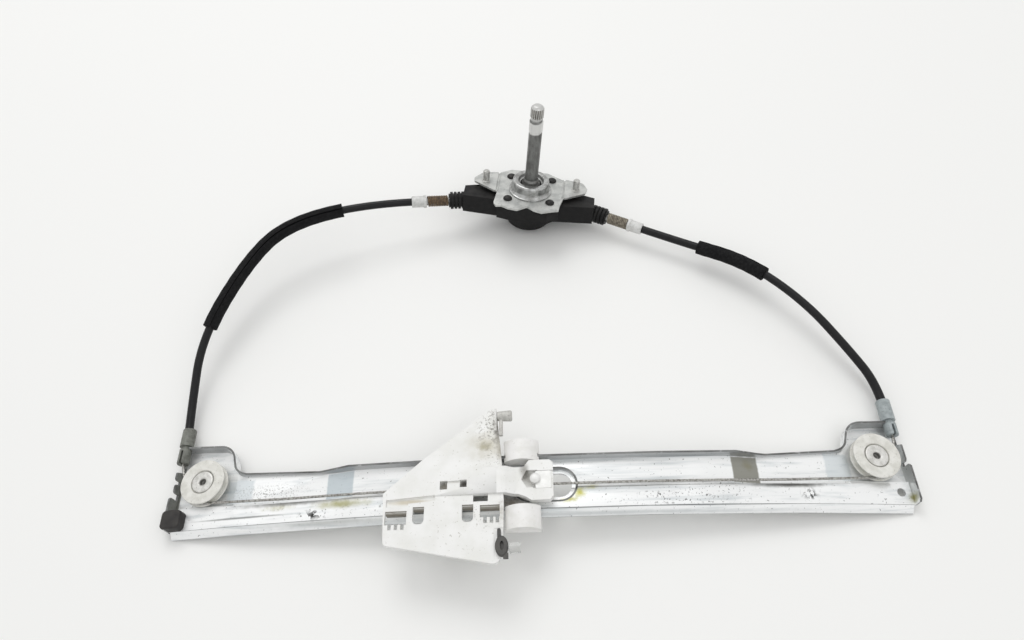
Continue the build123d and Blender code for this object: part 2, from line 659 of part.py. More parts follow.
def spacer_stub():
    """Clear plastic peg pushed into the side of the grommet's foot."""
    stub = turned((0, 0), (1.4, 0), (1.4, 1.2), (2.9, 1.2), (2.9, 6.8), (2.4, 7.3), (0, 7.3))
    return Pos(183.6, -47.2, 13.9) * Rot(0, 90, 0) * stub


save_on_carrier(fitted(spacer_stub()), "spacer_stub")


# ---- winder ----
def at_winder(shape):
    return WINDER * shape


def leg_place(mouth, degrees, along=0.0):
    """Frame at a distance along a cable leg, with its Z along the leg."""
    angle = math.radians(degrees)
    x = mouth[0] + along * math.cos(angle)
    y = mouth[1] + along * math.sin(angle)
    return Location((x, y, LEG_Z), (0, 0, degrees)) * Location((0, 0, 0), (0, 90, 0))


LEGS = (("left", MOUTH_LEFT, LEG_LEFT_DEG), ("right", MOUTH_RIGHT, LEG_RIGHT_DEG))


def collar():
    """Ribbed collar at the mouth of a housing arm."""
    points = [(0, -1.0), (5.0, -1.0)]
    for ridge in range(4):
        low = ridge * 2.7
        points += [(6.2, low), (6.2, low + 1.6), (5.0, low + 1.6), (5.0, low + 2.7)]
    points[-1] = (5.0, COLLAR_LONG)
    return turned(*points, (0, COLLAR_LONG))


def arm(side, mouth):
    """Tapered arm from the drum can to the mouth of a cable leg."""
    sign = -1 if side == "left" else 1
    root = 16.0 * sign
    end = mouth[0]
    plan = outline((root, 11.0), (end, mouth[1] + 6.0), (end, mouth[1] - 6.2), (root, -12.5))
    limb = prism_z(plan, (-18.2, -3.2))
    lower = limb.edges().filter_by(Axis.X, tolerance=30).filter_by(lambda e: e.center().Z < -10)
    return fillet(lower, 2.0)


def housing():
    body = turned((0, CAN_LOW), (CAN_R - 1.5, CAN_LOW), (CAN_R, CAN_LOW + 1.5), (CAN_R, -3.0), (0, -3.0))
    deck = outline(
        (-23, 14), (-14, 21), (11, 21), (22, 13.5), (22, -14.5), (14, -21), (-12, -21), (-22, -19),
    )
    body += prism_z(deck, (-13.5, -PLATE - 0.1))
    for side, mouth, degrees in LEGS:
        body += arm(side, mouth)
        body += leg_place(mouth, degrees) * collar()
    body -= post(0, 0, CAVITY_R, (CAN_LOW + 1.6, 0))
    body -= post(0, 0, 4.05, (CAN_LOW - 1, 0))
    for side, mouth, degrees in LEGS:
        place = leg_place(mouth, degrees)
        body -= place * post(0, 0, 2.6, (-4.0, COLLAR_LONG + 1))
        body -= leg_cut(mouth, degrees)
    for x in (-RIVET_XY[0], RIVET_XY[0]):
        for y in (-RIVET_XY[1], RIVET_XY[1]):
            body -= post(x, y, 2.0, (-9.0, 0))
    return body


def leg_points(mouth, degrees):
    """A cable leg: from beside the drum, tangent to its turn, to inside the conduit cap."""
    angle = math.radians(degrees)
    inner = (mouth[0] - 3.0 * math.cos(angle), mouth[1] - 3.0 * math.sin(angle))
    away = math.hypot(*inner)
    sign = -1 if mouth[0] < 0 else 1
    touch = math.atan2(inner[1], inner[0]) + sign * math.acos(WRAP_R / away)
    tangent = (WRAP_R * math.cos(touch), WRAP_R * math.sin(touch))
    length = math.dist(inner, tangent)
    part = 8.0 / length
    start = [tangent[axis] + (inner[axis] - tangent[axis]) * part for axis in (0, 1)]
    end = (mouth[0] + 31.0 * math.cos(angle), mouth[1] + 31.0 * math.sin(angle))
    return [(*start, LEG_Z), (*inner, LEG_Z), (*end, LEG_Z)]


def leg_cut(mouth, degrees):
    start, inner, end = leg_points(mouth, degrees)
    span = Vector(*inner) - Vector(*start)
    lane = Plane(origin=start, z_dir=span) * Circle(1.6)
    return extrude(lane, span.length + 1.0)


save(at_winder(housing()), "winder_housing")

for side, mouth, degrees in LEGS:
    leg = FilletPolyline(*leg_points(mouth, degrees), radius=60)
    save(at_winder(tube_along(leg, CABLE_R)), f"winder_cable_{side}")


def cover_plate():
    """Pressed cover with two eared ends, a scalloped near edge and a joggled bend at each ear."""
    body = outline(
        (-24.2, 17.8), (-15.5, 23.6), (11.4, 23.4), (23.6, 16.2), (24.4, -6.0), (22.2, -16.5),
        (21.8, -21.5), (17.5, -22.8), (10.0, -26.0), (4.5, -24.4), (-0.6, -20.6), (-7.2, -25.6),
        (-14.0, -24.8), (-18.5, -22.4), (-22.6, -23.4), (-24.6, -19.5), (-23.6, -6.0),
    )
    plate = prism_z(body, (-PLATE, 0))
    plate = fillet(plate.edges().filter_by(Axis.Z), 0.9)
    left = outline(
        (-23, 17.2), (-28, 17.4), (-36.2, 15.0), (-41.6, 7.6), (-41.0, 3.4), (-26.0, -5.6),
        (-23, -5.6),
    )
    right = outline(
        (23, 16.4), (26, 16.9), (37.7, 14.4), (41.2, 7.4), (39.8, 2.0), (26, -6.6), (23, -6.0),
    )
    for face, tip in ((left, -41), (right, 41)):
        ear = prism_z(face, (-PLATE + 0.5, 0.5))
        ends = ear.edges().filter_by(Axis.Z).filter_by(lambda e, tip=tip: abs(e.center().X - tip) < 6)
        plate += fillet(ends, 2.2)
    for crease_x in (-24.0, 24.2):
        plate -= block((crease_x - 0.6, crease_x + 0.6), (-30, 30), (-0.5, 2))
    plate -= post(0, 0, 12.0, (-5, 5))
    for x in (-RIVET_XY[0], RIVET_XY[0]):
        for y in (-RIVET_XY[1], RIVET_XY[1]):
            plate -= post(x, y, 2.0, (-5, 5))
    for x in (-STUD_X, STUD_X):
        plate -= post(x, STUD_Y, 1.9, (-5, 5))
    return plate


save(at_winder(cover_plate()), "cover_plate")


def brake_cup():
    """Deep-drawn cup over the brake spring, with a flared foot and a turned-in mouth."""
    wall = 1.1
    return turned(
        (CUP_R + 2.2, 0.03), (CUP_R + 2.2, 0.9), (CUP_R + 1.3, 1.2), (CUP_R + 0.4, 2.2), (CUP_R, 3.4),
        (CUP_R, CUP_HIGH - 1.4), (CUP_R - 0.5, CUP_HIGH - 0.4), (CUP_R - 1.5, CUP_HIGH),
        (9.2, CUP_HIGH - 0.3), (8.4, CUP_HIGH - 2.6), (7.4, CUP_HIGH - 3.2), (7.4, CUP_HIGH - 4.2),
        (9.1, CUP_HIGH - 3.6), (10.0, CUP_HIGH - 1.3), (CUP_R - wall - 0.4, CUP_HIGH - wall),
        (CUP_R - wall, CUP_HIGH - 2.0), (CUP_R - wall, 0.03),
    )


save(at_winder(brake_cup()), "brake_cup")


def rivet():
    return turned(
        (0, -8.8), (1.95, -8.8), (1.95, 0.05), (3.2, 0.05), (3.2, 0.7), (2.4, 1.6), (1.2, 2.0),
        (0, 2.1),
    )


for row, y in (("near", -RIVET_XY[1]), ("far", RIVET_XY[1])):
    for side, x in (("left", -RIVET_XY[0]), ("right", RIVET_XY[0])):
        save(at_winder(Pos(x, y, 0) * rivet()), f"rivet_{row}_{side}")


def stud():
    """Pressed-in mounting stud with a small base ring above the ear and a head below it."""
    lift = 0.5
    return turned(
        (0, -2.6), (3.6, -2.6), (3.6, -PLATE + lift - 0.02), (1.9, -PLATE + lift - 0.02),
        (1.9, lift + 0.02), (3.0, lift + 0.02), (3.0, lift + 0.5), (STUD_R, lift + 0.7),
        (STUD_R, STUD_HIGH - 0.6), (STUD_R - 0.6, STUD_HIGH), (0, STUD_HIGH),
    )


for side, x in (("left", -STUD_X), ("right", STUD_X)):
    save(at_winder(Pos(x, STUD_Y, 0) * stud()), f"mounting_stud_{side}")


def crank_spindle():
    """Crank spindle: journal, driver flange in the cup, shaft, grooved neck and serrated head."""
    shaft = turned(
        (0, CAN_LOW + 0.2), (4.0, CAN_LOW + 0.2), (4.0, -3.0), (10.6, -3.0), (10.6, 1.0), (6.6, 1.4),
        (6.6, 6.2), (6.0, 7.0), (5.6, 8.8), (SPINDLE_R, 10.0), (SPINDLE_R, 48.2),
        (SPINDLE_R + 0.2, 48.8), (SPINDLE_R + 0.2, 55.8), (SPINDLE_R - 0.5, 56.6),
        (SPINDLE_R - 0.5, 59.0), (0, 59.0),
    )
    tooth = []
    for number in range(TEETH):
        for part, radius in ((0.0, SPINDLE_R - 0.45), (0.28, SPINDLE_R), (0.62, SPINDLE_R)):
            angle = math.tau * (number + part) / TEETH
            tooth.append((radius * math.cos(angle), radius * math.sin(angle)))
    head = prism_z(outline(*tooth), (58.6, 65.4))
    tip = turned(
        (0, 65.0), (SPINDLE_R - 0.45, 65.0), (SPINDLE_R - 0.7, 66.2), (SPINDLE_R - 1.8, 67.2),
        (0, SPINDLE_HIGH),
    )
    return shaft + head + tip


save(at_winder(crank_spindle()), "crank_spindle")


def cable_drum():
    """Flanged cable drum keyed on the spindle's journal."""
    root = 11.7
    return turned(
        (4.0, -22.5), (DRUM_R, -22.5), (DRUM_R, -20.0), (root, -19.4), (root, -8.2), (DRUM_R, -7.6),
        (DRUM_R, -5.2), (4.0, -5.2),
    )


save(at_winder(cable_drum()), "cable_drum")


def drum_cable():
    """The cable's four wraps on the drum, drawn as one ridged sleeve."""
    valley = WRAP_R - 0.6
    ridge = WRAP_R + CABLE_R
    pitch = 2.6
    first = -18.9
    points = []
    for wrap in range(4):
        low = first + wrap * pitch
        points += [(valley, low), (ridge, low + 0.5), (ridge, low + 1.0), (valley, low + 1.5)]
    inner = WRAP_R - 0.8
    return turned((inner, first), *points, (inner, first + 3 * pitch + 1.5))


save(at_winder(drum_cable()), "drum_cable")


def brake_spring():
    """Close-coiled wrap spring that holds the drum against the cup's wall."""
    points = []
    for coil in range(3):
        low = 1.6 + coil * 1.7
        points += [(11.6, low), (11.9, low + 0.4), (11.9, low + 1.2), (11.6, low + 1.6)]
    return turned((10.9, 1.6), *points, (10.9, 6.6))


save(at_winder(brake_spring()), "brake_spring")


# ---- conduit caps and tension springs at the winder ----
def conduit_cap():
    """Cap with a guide tube in the collar, a flange for the spring, and a socket for the conduit."""
    return turned(
        (1.0, 1.0), (2.1, 1.0), (2.1, SPRING_TO + 0.2), (4.6, SPRING_TO + 0.2), (4.6, SPRING_TO + 2.2),
        (4.1, SPRING_TO + 2.4), (4.1, CAP_TO - 0.5), (3.7, CAP_TO), (CONDUIT_R + 0.05, CAP_TO),
        (CONDUIT_R + 0.05, CONDUIT_FROM - 0.1), (1.0, CONDUIT_FROM - 0.1),
    )


def tension_spring():
    """Close-coiled compression spring, drawn as a ridged sleeve."""
    coils = 10
    step = (SPRING_TO - SPRING_FROM) / coils
    points = []
    for coil in range(coils):
        low = SPRING_FROM + coil * step
        points += [(3.35, low), (3.95, low + 0.3 * step), (3.95, low + 0.7 * step)]
    return turned((2.5, SPRING_FROM), *points, (3.35, SPRING_TO), (2.5, SPRING_TO))


for side, mouth, degrees in LEGS:
    place = leg_place(mouth, degrees)
    save(at_winder(place * conduit_cap()), f"conduit_cap_{side}")
    save(at_winder(place * tension_spring()), f"tension_spring_{side}")


# ---- conduits and their foam sleeves ----
def fillet_radii(points):
    """Radius at each inner point: 0.45 of the shorter run over the tangent of half the turn."""
    radii = []
    for before, here, after in zip(points, points[1:], points[2:]):
        first = Vector(*here) - Vector(*before)
        second = Vector(*after) - Vector(*here)
        turn = math.radians(first.get_angle(second))
        radii.append(0.45 * min(first.length, second.length) / math.tan(turn / 2))
    return radii


def leg_point(mouth, degrees, along):
    place = WINDER * leg_place(mouth, degrees, along)
    return tuple(place.position)


def ferrule_point(axis_x, ferrule_x, y):
    place = at_arch(axis_x) * Location((ferrule_x, y, CABLE_H))
    return tuple(place.position)


CONDUIT_LEFT = [
    leg_point(MOUTH_LEFT, LEG_LEFT_DEG, CONDUIT_FROM),
    leg_point(MOUTH_LEFT, LEG_LEFT_DEG, CONDUIT_FROM + 39.0),
    (31.8, 182.0, 36.0),
    (6.0, 153.0, 30.0),
    (-15.6, 99.6, 21.0),
    ferrule_point(0, FERRULE_LEFT_X, 54.0),
    ferrule_point(0, FERRULE_LEFT_X, 30.2),
]
CONDUIT_RIGHT = [
    leg_point(MOUTH_RIGHT, LEG_RIGHT_DEG, CONDUIT_FROM),
    leg_point(MOUTH_RIGHT, LEG_RIGHT_DEG, CONDUIT_FROM + 38.0),
    (349.6, 143.6, 17.0),
    (380.2, 107.4, 19.0),
    (402.0, 71.0, 14.0),
    ferrule_point(PULLEY_GAP, FERRULE_RIGHT_X, 50.0),
    ferrule_point(PULLEY_GAP, FERRULE_RIGHT_X, 30.2),
]

for side, points in (("left", CONDUIT_LEFT), ("right", CONDUIT_RIGHT)):
    radii = fillet_radii(points)
    route = FilletPolyline(*points, radius=radii)
    print(f"conduit_{side} length {route.length:.1f}, radii", [round(radius, 1) for radius in radii])
    print("   points", [tuple(round(value, 2) for value in point) for point in points])
    save(tube_along(route, CONDUIT_R), f"conduit_{side}")


def part_way(points, index, share):
    """Point on a straight run of a conduit's route."""
    here = Vector(*points[index])
    return here + (Vector(*points[index + 1]) - here) * share


def foam_sleeve(points, first, last):
    """Split foam tube on a conduit, from one straight run to another."""
    inner = points[first[0] + 1:last[0] + 1]
    route_points = [part_way(points, *first), *[Vector(*point) for point in inner], part_way(points, *last)]
    all_radii = fillet_radii(points)
    route = FilletPolyline(*route_points, radius=all_radii[first[0]:last[0]])
    outer = tube_along(route, FOAM_R)
    return outer - tube_along(route, CONDUIT_R + 0.1)


save(foam_sleeve(CONDUIT_LEFT, (1, 0.49), (3, 0.5)), "foam_sleeve_left")
save(foam_sleeve(CONDUIT_RIGHT, (1, 0.5), (2, 0.5)), "foam_sleeve_right")
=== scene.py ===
import math
import bmesh
import bpy
import numpy as np
from mathutils import Matrix, Vector


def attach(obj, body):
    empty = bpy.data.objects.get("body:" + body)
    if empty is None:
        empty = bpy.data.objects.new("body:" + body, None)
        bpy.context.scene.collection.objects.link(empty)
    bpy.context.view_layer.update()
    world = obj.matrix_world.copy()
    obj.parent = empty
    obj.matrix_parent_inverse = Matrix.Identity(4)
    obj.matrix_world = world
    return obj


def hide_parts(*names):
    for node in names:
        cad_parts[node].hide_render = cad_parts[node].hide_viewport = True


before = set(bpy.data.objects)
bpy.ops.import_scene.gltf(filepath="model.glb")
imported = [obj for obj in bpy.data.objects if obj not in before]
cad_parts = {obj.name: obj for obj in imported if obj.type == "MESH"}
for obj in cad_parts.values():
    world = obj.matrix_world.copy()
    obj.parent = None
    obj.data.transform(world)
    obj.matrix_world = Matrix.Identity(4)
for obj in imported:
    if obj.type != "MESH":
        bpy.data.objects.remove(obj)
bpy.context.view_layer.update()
scene = bpy.context.scene

# Shapes are drawn in millimetres from the left pulley's axis: X along the rail, Y to the winder,
# Z up from the floor. They are moved to the frame's origin as they go into a mesh.
mmPerMetre = 1000.0
layout = {
    "origin": (198.11, 86.78, 0.0),
    "pulleys": {"left": 0.0, "right": 400.0},
    "pulleyY": 0.45,
    "arch": {"radius": 1416.0, "middle": 199.5, "rise": 16.77, "trueAt": 7.0},
    "carrierX": 165.0,
    "winderAt": (204.5, 209.4, 28.65),
    "winderTurn": (-12.5, 7.0, -5.8),
    "legHeight": -12.0,
    "legs": {"left": ((-47.4, -4.4), 194.5), "right": ((47.0, -3.4), -20.5)},
}


# A place is a turn and a shift, in millimetres.
def turnAbout(axis, degrees):
    return np.array(Matrix.Rotation(math.radians(degrees), 3, axis))


def makePlace(at=(0, 0, 0), turn=None):
    return (np.eye(3) if turn is None else turn, np.array(at, float))


def joinPlaces(outer, inner):
    return (outer[0] @ inner[0], outer[0] @ inner[1] + outer[1])


def toFrame(points, place=None):
    turn, at = place or makePlace()
    return (np.asarray(points, float) @ turn.T + at - np.array(layout["origin"])) / mmPerMetre


def archPlace(x):
    # frame tangent to the rail's arch at x: its X still counts from the left pulley's axis
    arch = layout["arch"]
    angle = math.asin((x - arch["middle"]) / (arch["radius"] + arch["trueAt"]))
    foot = (
        arch["middle"] + arch["radius"] * math.sin(angle), 0.0,
        arch["rise"] - arch["radius"] * (1 - math.cos(angle)),
    )
    return joinPlaces(makePlace(foot, turnAbout("Y", math.degrees(angle))), makePlace((-x, 0, 0)))


winderPlace = makePlace(
    layout["winderAt"],
    turnAbout("X", layout["winderTurn"][0]) @ turnAbout("Y", layout["winderTurn"][1])
    @ turnAbout("Z", layout["winderTurn"][2]),
)


def legPlace(side):
    (x, y), degrees = layout["legs"][side]
    turn = turnAbout("Z", degrees) @ turnAbout("Y", 90)
    return joinPlaces(winderPlace, makePlace((x, y, layout["legHeight"]), turn))


def onPlace(place, x, y, z):
    return tuple(place[0] @ np.array((x, y, z), float) + place[1])


def onWinder(x, y, z):
    return onPlace(winderPlace, x, y, z)


def onArch(x, y, z):
    return onPlace(archPlace(x), x, y, z)


# The camera: at in millimetres, angles in degrees, lens and sensor in millimetres.
cameraView = {
    "at": (209.6, -191.0, 456.4),
    "yaw": -4.02,
    "down": 56.0,
    "roll": -6.02,
    "lens": 28.125,
    "sensor": 36.0,
}


def makeCamera(view):
    yaw, down, roll = (math.radians(view[key]) for key in ("yaw", "down", "roll"))
    ahead = Vector((math.sin(yaw) * math.cos(down), math.cos(yaw) * math.cos(down), -math.sin(down)))
    level = Vector((math.cos(yaw), -math.sin(yaw), 0))
    upward = level.cross(ahead)
    right = math.cos(roll) * level + math.sin(roll) * upward
    top = -math.sin(roll) * level + math.cos(roll) * upward
    data = bpy.data.cameras.new("camera")
    data.lens = view["lens"]
    data.sensor_width = view["sensor"]
    data.clip_start = 0.01
    camera = bpy.data.objects.new("camera", data)
    turn = Matrix((right, top, -ahead)).transposed()
    camera.matrix_world = Matrix.Translation(Vector(toFrame([view["at"]])[0])) @ turn.to_4x4()
    scene.collection.objects.link(camera)
    scene.camera = camera


makeCamera(cameraView)
print("camera set")


# Materials: sizes are in millimetres, and a share runs from 0 to 1.
def hexColour(code):
    parts = [int(code[i:i + 2], 16) / 255 for i in (1, 3, 5)]
    linear = [p / 12.92 if p <= 0.04045 else ((p + 0.055) / 1.055) ** 2.4 for p in parts]
    return (*linear, 1.0)


def addNode(tree, kind, inputs=None, **settings):
    node = tree.nodes.new(kind)
    for key, value in settings.items():
        setattr(node, key, value)
    for key, value in (inputs or {}).items():
        if isinstance(value, bpy.types.NodeSocket):
            tree.links.new(value, node.inputs[key])
        else:
            node.inputs[key].default_value = value
    return node


def newMaterial(name):
    material = bpy.data.materials.new(name)
    material.use_nodes = True
    return material, material.node_tree, material.node_tree.nodes["Principled BSDF"]


def randomShare(tree, coords, sizeMm, edges, outputs=(0.0, 1.0), detail=4.0, stretch=None):
    # an uneven pattern of this size: the first output below the first edge, the second past the last
    if stretch:
        coords = addNode(tree, "ShaderNodeMapping", {"Vector": coords, "Scale": stretch}).outputs[0]
    pattern = addNode(tree, "ShaderNodeTexNoise", {
        "Vector": coords, "Scale": mmPerMetre / sizeMm, "Detail": detail, "Roughness": 0.55,
    }).outputs["Fac"]
    return addNode(tree, "ShaderNodeMapRange", {
        "Value": pattern, "From Min": edges[0], "From Max": edges[1], "To Min": outputs[0],
        "To Max": outputs[1],
    }, interpolation_type="SMOOTHSTEP").outputs["Result"]


def facingShare(tree, axis, edges, most=1.0):
    # how far a face looks along an axis: 0 at the first edge, most at the second
    normal = tree.nodes.new("ShaderNodeNewGeometry").outputs["Normal"]
    part = addNode(tree, "ShaderNodeSeparateXYZ", {0: normal}).outputs[axis]
    return addNode(tree, "ShaderNodeMapRange", {
        "Value": part, "From Min": edges[0], "From Max": edges[1], "To Min": 0.0, "To Max": most,
    }, interpolation_type="SMOOTHSTEP").outputs["Result"]


def stainAndShadeShare(tree, coords, spot):
    # 1 well inside an ellipsoid, or a block where square is given, falling to 0 past its ragged edge
    centre = toFrame([spot["at"]])[0]
    reach = [size / mmPerMetre for size in spot["reach"]]
    offset = addNode(tree, "ShaderNodeVectorMath", {0: coords, 1: centre}, operation="SUBTRACT").outputs[0]
    scaled = addNode(tree, "ShaderNodeVectorMath", {0: offset, 1: reach}, operation="DIVIDE").outputs[0]
    ragged = spot.get("ragged", 0.9)
    outside, inside = 1.0 + ragged / 2, 0.4
    if "square" in spot:  # crisp sides: the largest of the three offsets counts
        sides = addNode(tree, "ShaderNodeVectorMath", {0: scaled}, operation="ABSOLUTE").outputs[0]
        x, y, z = addNode(tree, "ShaderNodeSeparateXYZ", {0: sides}).outputs[:3]
        wider = addNode(tree, "ShaderNodeMath", {0: x, 1: y}, operation="MAXIMUM").outputs[0]
        far = addNode(tree, "ShaderNodeMath", {0: wider, 1: z}, operation="MAXIMUM").outputs[0]
        inside = outside - spot["square"]
    else:
        far = addNode(tree, "ShaderNodeVectorMath", {0: scaled}, operation="LENGTH").outputs["Value"]
    uneven = addNode(tree, "ShaderNodeTexNoise", {
        "Vector": coords, "Scale": mmPerMetre / spot.get("raggedMm", 3.0), "Detail": 4.0, "Roughness": 0.55,
    }).outputs["Fac"]
    edge = addNode(tree, "ShaderNodeMath", {0: uneven, 1: ragged, 2: far}, operation="MULTIPLY_ADD")
    share = addNode(tree, "ShaderNodeMapRange", {
        "Value": edge.outputs[0], "From Min": outside, "From Max": inside, "To Min": 0.0,
        "To Max": spot.get("strength", 1.0),
    }, interpolation_type="SMOOTHSTEP").outputs["Result"]
    limits = []
    if spot.get("upright"):  # only on faces that look to the near side
        limits.append(facingShare(tree, "Y", (-0.6, -0.9)))
    if "speckMm" in spot:  # broken up into specks
        specks = spot.get("speckFrom", (0.52, 0.6))
        limits.append(randomShare(tree, coords, spot["speckMm"], specks, detail=2.0))
    for limit in limits:
        share = addNode(tree, "ShaderNodeMath", {0: share, 1: limit}, operation="MULTIPLY").outputs[0]
    return share


def makeSurface(name, look):
    material, tree, shader = newMaterial(name)
    coords = tree.nodes.new("ShaderNodeTexCoord").outputs["Object"]
    stretch = look.get("stretch")
    mottle = randomShare(tree, coords, look["mottleMm"], look.get("mottle", (0.35, 0.7)), stretch=stretch)
    layers = [(mottle, look["second"])]
    if "speck" in look:  # small dark or pale specks, such as dirt in the pores
        edges = look.get("speckFrom", (0.6, 0.72))
        specks = randomShare(tree, coords, look["speckMm"], edges, (0.0, look["speckShare"]), detail=2.0)
        layers.append((specks, look["speck"]))
    if "dust" in look:  # dust settles where the face looks up
        settled = facingShare(tree, "Z", (0.2, 1.0), look["dustShare"])
        broken = randomShare(tree, coords, dustPatchMm, (0.3, 0.75))
        dusty = addNode(tree, "ShaderNodeMath", {0: settled, 1: broken}, operation="MULTIPLY").outputs[0]
        layers.append((dusty, look["dust"]))
    if "wall" in look:  # painted shade on upright faces that look to the near side
        layers.append((facingShare(tree, "Y", (-0.7, -0.97), look["wallShadeShare"]), look["wall"]))
    for spot in look.get("spots", ()):
        layers.append((stainAndShadeShare(tree, coords, spot), spot["colour"]))
    colour = hexColour(look["colour"])
    for share, code in layers:
        mix = addNode(tree, "ShaderNodeMix", {0: share, 6: colour, 7: hexColour(code)}, data_type="RGBA")
        colour = mix.outputs[2]
    tree.links.new(colour, shader.inputs["Base Color"])
    patchMm = look.get("roughMm", 5.0)
    worn = randomShare(tree, coords, patchMm, (0.3, 0.7), look["roughness"], stretch=stretch)
    tree.links.new(worn, shader.inputs["Roughness"])
    for socket, value in look["set"].items():
        shader.inputs[socket].default_value = value
    if "grainStretch" in look:
        drawn = addNode(tree, "ShaderNodeMapping", {"Vector": coords, "Scale": look["grainStretch"]})
        coords = drawn.outputs[0]
    height = addNode(tree, "ShaderNodeTexNoise", {
        "Vector": coords, "Scale": mmPerMetre / look["grainMm"], "Detail": 3.0, "Roughness": 0.6,
    }).outputs["Fac"]
    bump = addNode(tree, "ShaderNodeBump", {
        "Height": height, "Strength": look["grain"], "Distance": look.get("grainDeepMm", 0.05) / mmPerMetre,
    })
    tree.links.new(bump.outputs[0], shader.inputs["Normal"])
    return material
